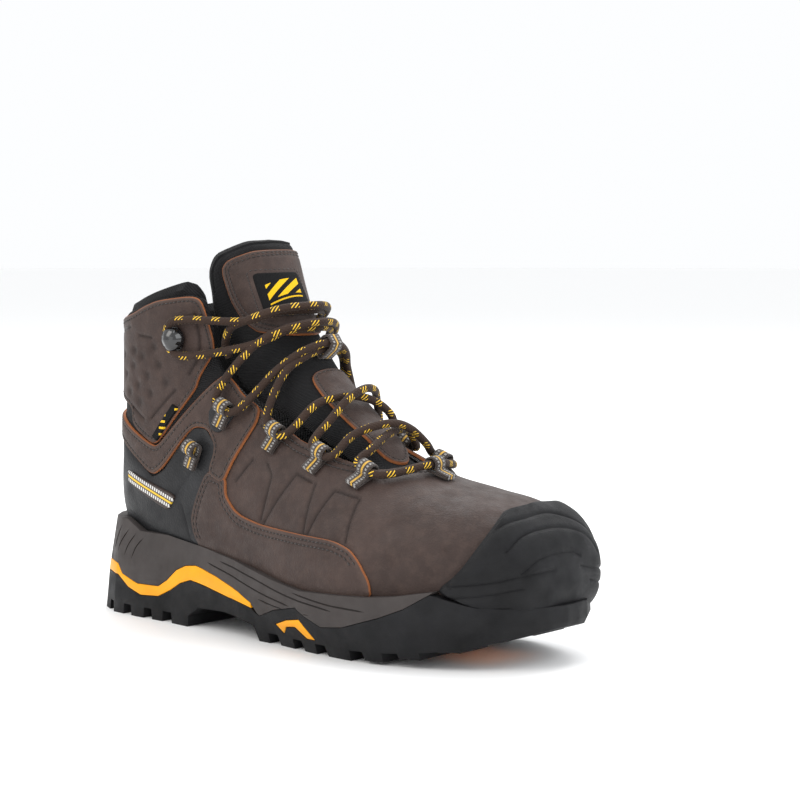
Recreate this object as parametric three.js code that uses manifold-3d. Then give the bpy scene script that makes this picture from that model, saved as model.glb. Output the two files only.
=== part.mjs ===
// Steel toe work boot for the right foot, laced, in millimetres.
// +X points to the toe, -Y is the outer (lateral) side, +Z is up.
// The upper is cut from one smooth surface, the shape of the last that the boot is built on.
// Each layer is that surface moved outwards or inwards, and each piece is trimmed by its outline
// in side view (x, z), front view (y, z) or plan (x, y), as a pattern cutter trims leather.
import * as THREE from 'three';
import { mergeVertices } from 'three/addons/utils/BufferGeometryUtils.js';
import Module from 'manifold-3d';

const wasm = await Module();
wasm.setup();

// Overall sizes: the outlines below are drawn for the size named first and graded to these.
const DRAWN = { length: 298, width: 116, height: 200 };
const SOLE_LENGTH = 298;
const BALL_WIDTH = 116;
const BOOT_HEIGHT = 200;

// Thicknesses and clearances.
const GAP = 0.35;
const LEATHER = 2.0;
const OVERLAY = 1.7;
const LINING = 1.3;
const CAP_STEEL = 2.0;
const COUNTER_BOARD = 2.0;
const COLLAR_PAD = 6.5;
const BUMPER = 4.6;
const FOOTBED = 5.0;
const SHANK = { width: 18, thickness: 1.8 };
const TRIM = 1.0;
const TONGUE = { foot: 4.0, top: 8.0 };
const LACE = 4.2;
const LACE_SIDES = 8;
const LOOP = { width: 8, wall: 1.2, tail: 11, webbing: 1.6 };
const HOOK = { width: 11, length: 12, wall: 1.2, room: 2 };
const LUG_DEPTH = 5.5;

const gradeX = SOLE_LENGTH / DRAWN.length;
const gradeY = BALL_WIDTH / DRAWN.width;
const gradeZ = BOOT_HEIGHT / DRAWN.height;

// The last. Each row is one slanted section: its place along the boot from toe (0) to collar (1),
// the point on the sole or back line, the point on the front line, the outer and inner half
// widths, the centre, how far up the section is widest, and the roundness of front and back.
const LAST = [
  [0.00, 292, 40, 292, 40, 0.0, 0.0, 8, 0.45, 2.2, 2.8],
  [0.02, 289, 30, 290, 54, 19, 19, 8, 0.45, 2.2, 3.0],
  [0.06, 281, 25, 281, 66, 33, 33, 7, 0.44, 2.3, 3.2],
  [0.12, 266, 21, 265, 75, 45, 43, 6, 0.40, 2.4, 3.4],
  [0.20, 240, 18, 241, 80, 52, 49, 3, 0.36, 2.4, 3.6],
  [0.29, 208, 17, 213, 87, 55, 50, -1, 0.33, 2.2, 3.6],
  [0.37, 175, 18, 188, 100, 52, 46, -2, 0.31, 2.05, 3.4],
  [0.45, 138, 20, 167, 115, 46, 42, -1, 0.34, 2.0, 3.2],
  [0.53, 95, 22, 150, 131, 41, 39, 0, 0.38, 2.0, 3.0],
  [0.61, 50, 24, 137, 147, 38, 37, 1, 0.42, 2.0, 2.8],
  [0.69, 16, 42, 127, 162, 38, 37, 1, 0.46, 2.0, 2.4],
  [0.78, 12, 80, 119, 177, 39, 38, 1, 0.48, 2.05, 2.2],
  [0.87, 16, 118, 113, 191, 41, 40, 1, 0.48, 2.1, 2.2],
  [0.94, 19, 146, 108, 203, 43, 42, 1, 0.48, 2.1, 2.2],
  [1.00, 19, 166, 104, 213, 44, 43, 1, 0.48, 2.1, 2.2],
];
const ROWS = [0, 0.018, 0.045, 0.08, 0.125, 0.175, 0.225, 0.27, 0.305, 0.345, 0.39, 0.44, 0.49,
  0.54, 0.59, 0.64, 0.69, 0.74, 0.8, 0.86, 0.93, 1];
const COLUMNS = 22;

const clamp01 = (x) => Math.min(1, Math.max(0, x));
const smooth = (x, from, to) => THREE.MathUtils.smoothstep(x, from, to);

// One section's numbers at any place, by a smooth curve through the rows above.
function station(t) {
  const last = LAST.length - 2;
  const i = Math.min(last, Math.max(0, LAST.findIndex((row) => row[0] > t) - 1));
  const k = t >= 1 ? last : i;
  const span = LAST[k + 1][0] - LAST[k][0];
  const s = (t - LAST[k][0]) / span;
  const slope = (r, c) => {
    const a = LAST[Math.max(0, r - 1)];
    const b = LAST[r];
    const d = LAST[Math.min(LAST.length - 1, r + 1)];
    const before = r > 0 ? (b[c] - a[c]) / (b[0] - a[0]) : (d[c] - b[c]) / (d[0] - b[0]);
    const after = r < LAST.length - 1 ? (d[c] - b[c]) / (d[0] - b[0]) : before;
    const w1 = r < LAST.length - 1 ? d[0] - b[0] : 1;
    const w0 = r > 0 ? b[0] - a[0] : w1;
    return (before * w1 + after * w0) / (w0 + w1);
  };
  const h = [2 * s ** 3 - 3 * s ** 2 + 1, s ** 3 - 2 * s ** 2 + s,
    3 * s ** 2 - 2 * s ** 3, s ** 3 - s ** 2];
  return LAST[k].map((value, c) => h[0] * value + h[1] * span * slope(k, c)
    + h[2] * LAST[k + 1][c] + h[3] * span * slope(k + 1, c));
}

// A point of the last. around runs from the front line (0) down the outer side to the sole and
// back line (1) and up the inner side to the front line again (2), in shares of arc length.
const RING = 60;
function sectionPoint(t, around) {
  const [, bx, bz, fx, fz, outer, inner, centre, widest, front, back] = station(t);
  const lateral = around <= 1;
  const share = lateral ? around : 2 - around;
  const half = lateral ? -outer : inner;
  const points = [];
  for (let i = 0; i <= RING; i++) {
    const angle = Math.PI * i / RING;
    const c = Math.cos(angle);
    const power = 2 / (c >= 0 ? front : back);
    const up = c >= 0 ? widest + (1 - widest) * c ** power : widest - widest * (-c) ** power;
    const wide = Math.abs(Math.sin(angle)) ** power;
    points.push(new THREE.Vector3((bx + (fx - bx) * up) * gradeX, (centre + half * wide) * gradeY,
      (bz + (fz - bz) * up) * gradeZ));
  }
  const lengths = [0];
  for (let i = 1; i <= RING; i++) {
    lengths.push(lengths[i - 1] + points[i].distanceTo(points[i - 1]));
  }
  const goal = share * lengths[RING];
  let i = 1;
  while (i < RING && lengths[i] < goal) i++;
  const span = lengths[i] - lengths[i - 1];
  const local = span > 0 ? (goal - lengths[i - 1]) / span : 0;
  return points[i - 1].clone().lerp(points[i], clamp01(local));
}

// The last as one faceted skin: the toe's point, then rows of COLUMNS points up to the collar.
const skin = buildSkin();
function buildSkin() {
  const places = [[0, 0]];
  const points = [sectionPoint(0, 0)];
  for (const t of ROWS.slice(1)) {
    for (let j = 0; j < COLUMNS; j++) {
      places.push([t, 2 * j / COLUMNS]);
      points.push(sectionPoint(t, 2 * j / COLUMNS));
    }
  }
  const at = (row, j) => (row === 0 ? 0 : 1 + (row - 1) * COLUMNS + ((j + COLUMNS) % COLUMNS));
  const faces = [];
  for (let row = 0; row < ROWS.length - 1; row++) {
    for (let j = 0; j < COLUMNS; j++) {
      if (row > 0) faces.push([at(row, j), at(row + 1, j), at(row, j + 1)]);
      faces.push([at(row, j + 1), at(row + 1, j), at(row + 1, j + 1)]);
    }
  }
  const geometry = new THREE.BufferGeometry().setFromPoints(points);
  geometry.setIndex(faces.flat());
  geometry.computeVertexNormals();
  const { normal } = geometry.attributes;
  const normals = points.map((_, i) => new THREE.Vector3().fromBufferAttribute(normal, i));
  const rim = Array.from({ length: COLUMNS }, (_, j) => at(ROWS.length - 1, j));
  return { places, points, normals, faces, rim };
}

// Solids are joined and cut as closed triangle meshes.
function solidOf(points, faces) {
  const vertProperties = new Float32Array(points.flatMap((p) => [p.x, p.y, p.z]));
  const triVerts = new Uint32Array(faces.flat());
  return new wasm.Manifold(new wasm.Mesh({ numProp: 3, vertProperties, triVerts }));
}

function fromGeometry(geometry) {
  geometry.deleteAttribute('normal');
  geometry.deleteAttribute('uv');
  const merged = mergeVertices(geometry, 1e-4);
  const position = merged.attributes.position;
  const points = Array.from({ length: position.count },
    (_, i) => new THREE.Vector3().fromBufferAttribute(position, i));
  const faces = [];
  for (let i = 0; i < merged.index.count; i += 3) {
    faces.push([0, 1, 2].map((k) => merged.index.getX(i + k)));
  }
  return solidOf(points, faces);
}

// The last's skin moved out by a height, either one number or a function of the place.
function lifted(h) {
  const height = (place) => (typeof h === 'function' ? h(...place) : h);
  return skin.points.map((p, i) => p.clone().addScaledVector(skin.normals[i], height(skin.places[i])));
}

// A layer of the upper between two heights over the last, open at the collar.
function layer(inside, outside) {
  const count = skin.points.length;
  const inner = skin.faces.map(([a, b, c]) => [a + count, c + count, b + count]);
  const edge = skin.rim.flatMap((a, j) => {
    const b = skin.rim[(j + 1) % COLUMNS];
    return [[b, a, a + count], [b, a + count, b + count]];
  });
  return solidOf([...lifted(outside), ...lifted(inside)], [...skin.faces, ...inner, ...edge]);
}

// Everything inside one height over the last, closed at the collar.
function filled(h) {
  const points = lifted(h);
  const middle = new THREE.Vector3();
  for (const i of skin.rim) middle.addScaledVector(points[i], 1 / COLUMNS);
  const lid = skin.rim.map((a, j) => [points.length, skin.rim[(j + 1) % COLUMNS], a]);
  return solidOf([...points, middle], [...skin.faces, ...lid]);
}

// Prisms for trimming. The outline's points are graded to the boot's size.
const FAR = 400;
function extruded(points, depth) {
  const shape = new THREE.Shape(points.map(([a, b]) => new THREE.Vector2(a, b)));
  return new THREE.ExtrudeGeometry(shape, { depth, steps: 1, bevelEnabled: false });
}

function sideView(points, fromY = -FAR, toY = FAR) {
  const graded = points.map(([x, z]) => [x * gradeX, z * gradeZ]);
  return fromGeometry(extruded(graded, toY - fromY).rotateX(Math.PI / 2).translate(0, toY, 0));
}

function frontView(points, fromX = -FAR, toX = FAR) {
  const graded = points.map(([y, z]) => [y * gradeY, z * gradeZ]);
  const prism = extruded(graded, toX - fromX).rotateX(Math.PI / 2).rotateZ(Math.PI / 2);
  return fromGeometry(prism.translate(fromX, 0, 0));
}

function rounded(points, steps = 3) {
  const knots = points.map(([a, b]) => new THREE.Vector3(a, b, 0));
  const curve = new THREE.CatmullRomCurve3(knots, true, 'centripetal');
  return curve.getPoints(points.length * steps).slice(1).map((p) => [p.x, p.y]);
}

// An outline moved outwards, whichever way round it runs.
function grown(points, by) {
  const turn = THREE.ShapeUtils.isClockWise(points.map(([a, b]) => new THREE.Vector2(a, b))) ? -1 : 1;
  return points.map(([a, b], i) => {
    const [pa, pb] = points[(i + points.length - 1) % points.length];
    const [na, nb] = points[(i + 1) % points.length];
    const before = new THREE.Vector2(a - pa, b - pb).normalize();
    const after = new THREE.Vector2(na - a, nb - b).normalize();
    const out = new THREE.Vector2(before.y + after.y, -before.x - after.x).normalize();
    const stretch = 1 / Math.max(0.6, Math.abs(out.x * before.y - out.y * before.x));
    return [a + out.x * by * turn * stretch, b + out.y * by * turn * stretch];
  });
}

const boot = new THREE.Group();
const MATERIALS = {
  crazyHorse: [0x4d403b, 0.72, 0],
  blackTextile: [0x1c1c1e, 0.9, 0],
  synthetic: [0x2b2b2d, 0.65, 0],
  lining: [0x2a2a2c, 0.95, 0],
  rubber: [0x1b1b1c, 0.8, 0],
  midsole: [0x3f3b37, 0.78, 0],
  yellow: [0xf5a81c, 0.55, 0],
  orange: [0xe8862a, 0.6, 0],
  steel: [0x9a9da0, 0.35, 1],
  board: [0xc9b48c, 0.9, 0],
  footbed: [0x3a3a3e, 0.95, 0],
  reflective: [0xc8c8c4, 0.4, 0],
  webbing: [0x4a3a30, 0.85, 0],
  lace: [0x3a2a22, 0.9, 0],
  hookBlack: [0x0c0c0d, 0.2, 0.3],
  label: [0x18181a, 0.7, 0],
};

function add(name, solid, look) {
  const [color, roughness, metalness] = MATERIALS[look];
  const made = solid.getMesh();
  const geometry = new THREE.BufferGeometry();
  geometry.setAttribute('position', new THREE.BufferAttribute(made.vertProperties, made.numProp));
  geometry.setIndex(Array.from(made.triVerts));
  const material = new THREE.MeshStandardMaterial({ color, roughness, metalness });
  const mesh = new THREE.Mesh(geometry, material);
  mesh.name = name;
  boot.add(mesh);
  return mesh;
}

// The outer and inner side: which way y runs, and the part of the boot that each keeps.
const SIDES = [
  { name: 'lateral', sign: -1, fromY: -FAR, toY: 0.8 },
  { name: 'medial', sign: 1, fromY: 1.2, toY: FAR },
];

// --- Layers of the upper ------------------------------------------------------------------
const CAP_BACK = 236;
const capZone = (t) => 1 - smooth(t, 0.225, 0.27);
const heelZone = (t) => smooth(t, 0.54, 0.59);
const underLeather = (t) => LEATHER + GAP + capZone(t) * (CAP_STEEL + GAP)
  + heelZone(t) * (COUNTER_BOARD + GAP);
const liningOutside = (t) => -underLeather(t);
const liningInside = (t) => -underLeather(t) - LINING;

// The feather line, where the walls of the upper meet the sole.
const FEATHER = [[310, 40], [292, 34], [281, 28.5], [266, 24], [240, 21], [208, 20], [175, 21],
  [138, 23], [95, 25], [50, 28], [25, 38], [-20, 40]];
const walls = sideView([...FEATHER, [-20, 260], [310, 260]]);
const underfoot = sideView([...FEATHER.map(([x, z]) => [x, z - GAP]), [-20, -20], [310, -20]]);

// The throat: the edge of the opening that the tongue fills, from the sole up to the collar.
const THROAT = [[209, 110], [207, 90], [202, 88.5], [183, 93.5], [159, 100.5], [131, 112.5],
  [115, 120], [104, 130], [98, 140], [96, 152], [93, 168]];
const COLLAR_TOP = [[91, 171.5], [86, 172.5], [67, 170], [50, 165], [30, 159.5], [-20, 157]];
const upperSide = [...THROAT, ...COLLAR_TOP, [-20, 0], [310, 0], [310, 110]];

const leather = layer(-LEATHER, 0).intersect(walls).intersect(sideView(upperSide));
const SEAM = [[117, 130], [110, 100], [105, 60], [103, 0]];
const behindSeam = SEAM.map(([x, z]) => [x - GAP, z]);
const ankleSide = [...behindSeam, [-20, 0], [-20, 260], [117 - GAP, 260]];
add('vamp', leather.intersect(sideView([...SEAM, [310, 0], [310, 130]])), 'crazyHorse');
add('ankle_textile', leather.intersect(sideView(ankleSide)), 'blackTextile');

// The steel cap over the toes, and the soft edging that carries its back edge.
const EDGING = 5;
const toeLayer = layer(-LEATHER - GAP - CAP_STEEL, -LEATHER - GAP).intersect(walls);
const slab = (from, to) => sideView([[from, -20], [to, -20], [to, 120], [from, 120]]);
add('steel_toe_cap', toeLayer.intersect(slab(CAP_BACK, 310)), 'steel');
add('toe_cap_edging', toeLayer.intersect(slab(CAP_BACK - EDGING, CAP_BACK - GAP)), 'rubber');
add('heel_counter', layer(-LEATHER - GAP - COUNTER_BOARD, -LEATHER - GAP).intersect(walls)
  .intersect(sideView([[-20, 0], [56, 0], [56, 26], [67, 45], [62, 82], [40, 95], [-20, 98]])), 'board');

// The padded collar and the bootie lining below it meet at one edge.
const PAD_FOOT = [[-20, 112], [30, 110], [62, 112], [84, 120], [96, 132]];
const padInside = (t) => -LEATHER - GAP - COLLAR_PAD * (0.55 + 0.45 * smooth(t, 0.7, 0.78));
const PAD_TOP = [[97, 140], [94.5, 152], [91, 170], [88, 175.5], [82, 177], [61, 171], [45, 166],
  [28, 162.5], [-20, 160]];
const padding = layer(padInside, -LEATHER - GAP).intersect(sideView([...PAD_FOOT, ...PAD_TOP]));
add('collar_padding', padding, 'blackTextile');
const belowPad = [...PAD_FOOT].reverse().map(([x, z]) => [x, z - GAP]);
const bootie = [...THROAT.slice(0, 7), [106, 127], ...belowPad, [-20, 0], [310, 0], [310, 110]];
add('lining', layer(liningInside, liningOutside).intersect(sideView(bootie)), 'lining');

// --- Panels sewn over the vamp and the ankle ----------------------------------------------
const overlay = layer(GAP, GAP + OVERLAY).intersect(walls);
const STRAP = [[104, 131.5], [110, 127], [117, 120], [129, 114.5], [129, 107], [124, 97], [118, 87],
  [113, 77], [100, 80.5], [104, 94], [96, 103], [87, 103.5], [66, 80.5],
  [57, 75.5], [40, 86], [-20, 112], [-20, 124], [39, 99.5], [59, 91], [64, 93]];
const FOXING = [[112.5, 76.4], [99.5, 80], [92, 67], [87.5, 56], [89, 48], [96, 36], [98, 0], [226, 0],
  [226, 36], [218, 49], [212, 54], [201, 57], [181, 57.5], [146, 58.5], [130, 61], [123, 63], [114, 70]];
const HEEL_PANEL = [[66, 79.5], [87, 102.5], [95.5, 102.5], [103, 94], [98.6, 80], [91.2, 67], [86.7, 56],
  [88.2, 48], [95, 36], [97, 0], [-20, 0], [-20, 111], [40, 85], [57, 74.5]];
const COLLAR_PANEL = [[-20, 154], [30, 156.5], [47, 160], [58, 164.5], [67, 167.5], [86, 169.5], [91, 167.5],
  [95, 154], [97, 147], [97.5, 141], [89.5, 128], [88, 122], [63, 94], [58, 92], [41, 101], [41, 110],
  [30, 114], [-20, 126]];
for (const { name, fromY, toY } of SIDES) {
  add(`strap_${name}`, overlay.intersect(sideView(STRAP, fromY, toY)), 'crazyHorse');
  add(`foxing_${name}`, overlay.intersect(sideView(FOXING, fromY, toY)), 'crazyHorse');
  add(`collar_panel_${name}`, overlay.intersect(sideView(COLLAR_PANEL, fromY, toY)), 'crazyHorse');
}
add('heel_panel', overlay.intersect(sideView(HEEL_PANEL)), 'synthetic');

// Trim sewn on the panels: a woven side label, a reflective strip and the frames of the loops.
const trim = layer(2 * GAP + OVERLAY, 2 * GAP + OVERLAY + TRIM);
const SIDE_LABEL = [[74, 114], [78, 112], [62.5, 94], [59, 96.5]];
const STRIP = [[36, 77], [76, 66.5], [69, 58], [36, 70]];
const LOOP_FRAME = rounded([[98, 114.5], [115, 113], [109.5, 102], [101, 104]], 2);
add('side_label', trim.intersect(sideView(SIDE_LABEL, -FAR, 0)), 'label');
for (const { name, fromY, toY } of SIDES) {
  add(`reflective_strip_${name}`, trim.intersect(sideView(STRIP, fromY, toY)), 'reflective');
  add(`loop_frame_${name}`, trim.intersect(sideView(LOOP_FRAME, fromY, toY)), 'synthetic');
}

// --- Sole --------------------------------------------------------------------------------
// Plan of the sole at wall height: outer side from heel to toe, then inner side back.
const PLAN = [[0, -4], [4, -17], [13, -29], [27, -37], [46, -40], [70, -41], [98, -43.5], [126, -48.5],
  [156, -55], [183, -60], [206, -61.5], [225, -60.5], [241, -56.5], [256, -51], [271, -42], [284, -30],
  [293, -15], [297.5, 3], [296, 20], [287, 35], [272, 46], [252, 53], [228, 55], [202, 54], [172, 50],
  [142, 45], [112, 41.5], [80, 40.5], [50, 40], [28, 37], [12, 28], [3, 15]];
const LEVELS = { ground: 0, wall: 22, rim: 54 };
const groundInset = (x) => 10 * smooth(x, 95, 170) - 2 * (1 - smooth(x, 10, 60));
const rimInset = (x) => 5 - 3.5 * smooth(x, 90, 180);
const soleBlock = buildSoleBlock();
function buildSoleBlock() {
  const inset = (depth) => grown(PLAN, -1).map(([a, b], i) => {
    const [x, y] = PLAN[i];
    return [x + (a - x) * depth(x), y + (b - y) * depth(x)];
  });
  const rings = [[inset(groundInset), LEVELS.ground], [PLAN, LEVELS.wall], [inset(rimInset), LEVELS.rim]];
  const graded = (z) => ([x, y]) => new THREE.Vector3(x * gradeX, y * gradeY, z * gradeZ);
  const points = rings.flatMap(([ring, z]) => ring.map(graded(z)));
  const n = PLAN.length;
  const faces = [];
  for (let level = 0; level < 2; level++) {
    for (let i = 0; i < n; i++) {
      const a = level * n + i;
      const b = level * n + (i + 1) % n;
      faces.push([a, b, b + n], [a, b + n, a + n]);
    }
  }
  for (const [level, up] of [[0, false], [2, true]]) {
    const flat = points.slice(level * n, level * n + n).map((p) => new THREE.Vector2(p.x, p.y));
    for (const [a, b, c] of THREE.ShapeUtils.triangulateShape(flat, [])) {
      faces.push([a, up ? b : c, up ? c : b].map((i) => i + level * n));
    }
  }
  return solidOf(points, faces);
}

const BAND_TOP = [[-20, 27], [28, 26], [33, 21], [47, 17.5], [64, 18], [71, 22], [78, 28], [85, 31], [93, 32],
  [111, 29], [132, 24], [143, 20]];
const BAND_FOOT = [[143, 17.5], [125, 20], [104, 23], [90, 24.5], [82, 22], [74, 17.5], [64, 13], [50, 12],
  [39, 15], [29, 20.5], [-20, 21]];
const MIDSOLE_TOP = [[258, 38], [239, 34.5], [224, 33], [183, 31.5], [160, 34], [126, 39], [98, 42], [68, 45],
  [46, 45], [33, 50], [-20, 50]];
const OUTSOLE_EDGE = [[149, 14], [162, 19], [181, 23], [187, 19], [196, 15], [211, 17], [233, 24], [245, 29],
  [257, 36.5]];
const above = (points, by) => points.map(([x, z]) => [x, z + by]);

// The well for the upper: clear of the panels behind the ball, close to the vamp at the toe.
const wellSize = (t) => 2 * GAP + (OVERLAY + GAP) * smooth(t, 0.2, 0.24);
const well = filled(wellSize);
const SHANK_LINE = { from: 62, to: 165, fromZ: 21.7 - OVERLAY, toZ: 16.9 - OVERLAY };
const shankSide = (margin, top) => [
  [SHANK_LINE.from - margin, SHANK_LINE.fromZ - SHANK.thickness - margin],
  [SHANK_LINE.to + margin, SHANK_LINE.toZ - SHANK.thickness - margin],
  [SHANK_LINE.to + margin, SHANK_LINE.toZ + top],
  [SHANK_LINE.from - margin, SHANK_LINE.fromZ + top]];
const CORE_INSET = 12;
const CORE_FOOT = [[-20, 10.5], [90, 10.5], [100, 15], [140, 13.5], [158, 10.5], [250, 12.5]];
function core(margin) {
  const plan = grown(PLAN, margin - CORE_INSET).map(([x, y]) => [x * gradeX, y * gradeY]);
  const foot = CORE_FOOT.map(([x, z], i) => [x + (i > 4 ? margin : 0), z - margin]);
  return fromGeometry(extruded(plan, FAR)).intersect(sideView([...foot, [250 + margin, 60], [-20, 60]]));
}
const shankSlot = sideView(shankSide(GAP, 6), -SHANK.width / 2 - GAP, SHANK.width / 2 + GAP);
const midsoleSide = sideView([...above(BAND_TOP, GAP), ...above(OUTSOLE_EDGE, GAP), ...MIDSOLE_TOP]);
const midsole = soleBlock.intersect(midsoleSide).add(core(0)).subtract(well).subtract(shankSlot);
add('midsole', midsole, 'midsole');
add('shank', sideView(shankSide(0, 0), -SHANK.width / 2, SHANK.width / 2), 'steel');
const band = soleBlock.intersect(sideView([...BAND_TOP, ...BAND_FOOT]));
add('heel_band', band.subtract(core(GAP)).subtract(well), 'yellow');

// The outsole: a plate with the arch raised, and lugs cut square across it.
const TOE_EDGE = [[275, 31], [310, 29]];
const PLATE_FOOT = [[310, 25], [297, 20], [285, 15.5], [270, 11.5], [252, 8.5], [232, 6.5], [212, LUG_DEPTH],
  [150, LUG_DEPTH], [140, 9], [118, 12], [97, 11], [88, LUG_DEPTH], [-20, LUG_DEPTH]];
const LUGS = [[2, 20, 0], [25, 36, 0], [41, 53, 0], [58, 68, 0], [74, 89, 0], [142, 152, 0], [158, 171, 0],
  [177, 188, 0], [194, 211, 0], [218, 230, 1.5], [237, 249, 4.5], [256, 267, 9], [273, 283, 14.5]];
const CHANNEL = 7;
const INLAY = [[226, 8.2], [248, 9.6], [266, 13], [266, 15], [248, 11.6], [226, 10.2]];
const plate = sideView([...above([...BAND_FOOT].reverse(), -GAP), ...OUTSOLE_EDGE, ...TOE_EDGE,
  ...PLATE_FOOT]);
const lugs = LUGS.flatMap(([from, to, foot]) => {
  const side = [[from + 1, foot], [to - 1, foot], [to, foot + 9], [from, foot + 9]];
  return [sideView(side, -FAR, -CHANNEL / 2), sideView(side, CHANNEL / 2, FAR)];
});
const tread = wasm.Manifold.union([plate, ...lugs]).intersect(soleBlock).subtract(well)
  .subtract(core(GAP));

// A bright inlay shows through a window in the tread under the toes.
const INLAY_HALF = 26;
const INLAY_EDGE = 8;
const windowSide = [[226 - GAP, -9], [266 + GAP, -9], [266 + GAP, 13], [248, 9.6], [226 - GAP, 8.2]];
const inlaySeat = sideView(grown(INLAY, GAP), -INLAY_HALF - GAP, INLAY_HALF + GAP);
const inlayWindow = sideView(windowSide, INLAY_EDGE - INLAY_HALF, INLAY_HALF - INLAY_EDGE);
add('tread_inlay', sideView(INLAY, -INLAY_HALF, INLAY_HALF), 'orange');

// A chevron plug let into each side of the outsole under the ball of the foot.
const PLUG = [[160, 11.5], [165, 7.5], [168.5, 11.5], [176, 12.5], [183, 7.5], [188.5, 7.5], [181, 17],
  [170, 15]];
const PLUG_DEPTH = 11;
const PLUG_WALL = { lateral: 61, medial: 52 };
function plugPrism({ name, sign }, outline, depth) {
  const inside = sign * (PLUG_WALL[name] * gradeY - depth);
  return sideView(outline, Math.min(inside, sign * FAR), Math.max(inside, sign * FAR));
}
const plugHoles = SIDES.map((side) => plugPrism(side, grown(PLUG, GAP), PLUG_DEPTH + GAP));
for (const side of SIDES) {
  add(`fore_plug_${side.name}`, soleBlock.intersect(plugPrism(side, PLUG, PLUG_DEPTH)), 'yellow');
}
const openings = wasm.Manifold.union([inlaySeat, inlayWindow, ...plugHoles]);
add('outsole', tread.subtract(openings), 'rubber');

// The rubber bumper moulded over the toe.
const BUMPER_EDGE = [[257, 38.5], [262, 43], [273, 56], [276.5, 67], [275, 74], [271, 79], [270, 110]];
const bumperSide = [...BUMPER_EDGE, [320, 110], [320, 29 + GAP], [275, 31 + GAP]];
add('toe_bumper', layer(2 * GAP, 2 * GAP + BUMPER).intersect(sideView(bumperSide)), 'rubber');

// Inside the shoe, from the sole up: insole board and footbed.
const boardTop = (t) => liningOutside(t) + GAP;
const boardFoot = (t) => wellSize(t) - GAP;
add('insole_board', layer(boardTop, boardFoot).intersect(underfoot), 'board');
const bedFloor = (t) => liningInside(t) - GAP;
const BED_TOP = FEATHER.map(([x, z]) => [x, z + FOOTBED + 1.5]);
add('footbed', filled(bedFloor).intersect(sideView([...BED_TOP, [-20, -20], [310, -20]])), 'footbed');

// --- Tongue ------------------------------------------------------------------------------
// A padded tongue: proud in the throat, its wings tucked under the edges and the collar.
const TONGUE_ROWS = [0.28, 0.305, 0.335, 0.37, 0.41, 0.455, 0.5, 0.55, 0.6, 0.65, 0.7, 0.75, 0.8, 0.85,
  0.9, 0.95, 1];
const TONGUE_COLUMNS = [-0.46, -0.38, -0.3, -0.235, -0.17, -0.11, -0.055, 0, 0.055, 0.11, 0.17, 0.235,
  0.3, 0.38, 0.46];
const throatHalf = (t) => 0.26 * Math.sqrt(clamp01((t - 0.3) / 0.16));
const SLIP = 1.2;
const wingDrop = (t) => SLIP - liningInside(t) + (COLLAR_PAD - LINING) * smooth(t, 0.64, 0.72);
const tongueTop = (t, v) => {
  const open = throatHalf(t);
  const tucked = smooth(Math.abs(v), 0.35 * open, Math.max(0.02, open - 0.045));
  return -wingDrop(t) * Math.max(tucked, 1 - smooth(t, 0.325, 0.385));
};
const tonguePad = (t) => TONGUE.foot + (TONGUE.top - TONGUE.foot) * smooth(t, 0.4, 0.8);

// A point at a height over the last. v is negative on the inner side and positive on the outer.
function overLast(t, v, lift) {
  const around = (v + 2) % 2;
  const alongT = sectionPoint(Math.min(1, t + 0.01), around).sub(sectionPoint(t - 0.01, around));
  const alongV = sectionPoint(t, (v + 2.02) % 2).sub(sectionPoint(t, (v + 1.98) % 2));
  return sectionPoint(t, around).addScaledVector(alongT.cross(alongV).normalize(), lift);
}

function tongueLayer(inside, outside) {
  const points = [outside, inside].flatMap((h) => TONGUE_ROWS.flatMap(
    (t) => TONGUE_COLUMNS.map((v) => overLast(t, v, h(t, v)))));
  const w = TONGUE_COLUMNS.length;
  const rows = TONGUE_ROWS.length;
  const lower = w * rows;
  const faces = [];
  for (let i = 0; i < rows - 1; i++) {
    for (let j = 0; j < w - 1; j++) {
      const a = i * w + j;
      faces.push([a, a + w, a + 1], [a + 1, a + w, a + w + 1]);
      const [b, c] = [a + lower, a + w + lower];
      faces.push([b, b + 1, c], [b + 1, c + 1, c]);
    }
  }
  const foot = Array.from({ length: w }, (_, j) => j);
  const head = Array.from({ length: w }, (_, j) => rows * w - 1 - j);
  const right = Array.from({ length: rows - 2 }, (_, i) => (i + 2) * w - 1);
  const left = Array.from({ length: rows - 2 }, (_, i) => (rows - 2 - i) * w);
  const border = [...foot, ...right, ...head, ...left];
  border.forEach((a, k) => {
    const b = border[(k + 1) % border.length];
    faces.push([a, b, b + lower], [a, b + lower, a + lower]);
  });
  return solidOf(points, faces);
}

const TONGUE_FRONT = [[-17, 70], [17, 70], [21, 92], [27, 112], [32, 145], [33.5, 168], [33, 186], [28, 194],
  [17, 198.5], [0, 200], [-17, 198.5], [-28, 194],
  [-33, 186], [-33.5, 168], [-32, 145], [-27, 112], [-21, 92]];
const PATCH_FRONT = [[-18, 150], [18, 150], [24, 158], [27, 168], [29, 184], [25, 190], [13, 193], [-13, 193],
  [-25, 190], [-29, 184], [-27, 168], [-24, 158]];
const STRIP_FRONT = [[-10, 94], [0, 92], [10, 94], [13, 100], [13.5, 126], [10, 131.5], [0, 133.5],
  [-10, 131.5], [-13.5, 126], [-13, 100]];
const LABEL_FRONT = [[-15.5, 161], [9, 161], [6.5, 181], [-17, 181]];
const proud = (by) => (t, v) => tongueTop(t, v) + by;
const tongueUnder = (t, v) => tongueTop(t, v) - tonguePad(t);
const pad = tongueLayer(tongueUnder, proud(0)).intersect(frontView(TONGUE_FRONT));
add('tongue', pad, 'blackTextile');
const tongueTrim = tongueLayer(proud(GAP), proud(GAP + OVERLAY));
add('tongue_patch', tongueTrim.intersect(frontView(PATCH_FRONT)), 'crazyHorse');
add('tongue_strip', tongueTrim.intersect(frontView(STRIP_FRONT)), 'crazyHorse');
const labelLayer = tongueLayer(proud(2 * GAP + OVERLAY), proud(2 * GAP + OVERLAY + TRIM));
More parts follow.
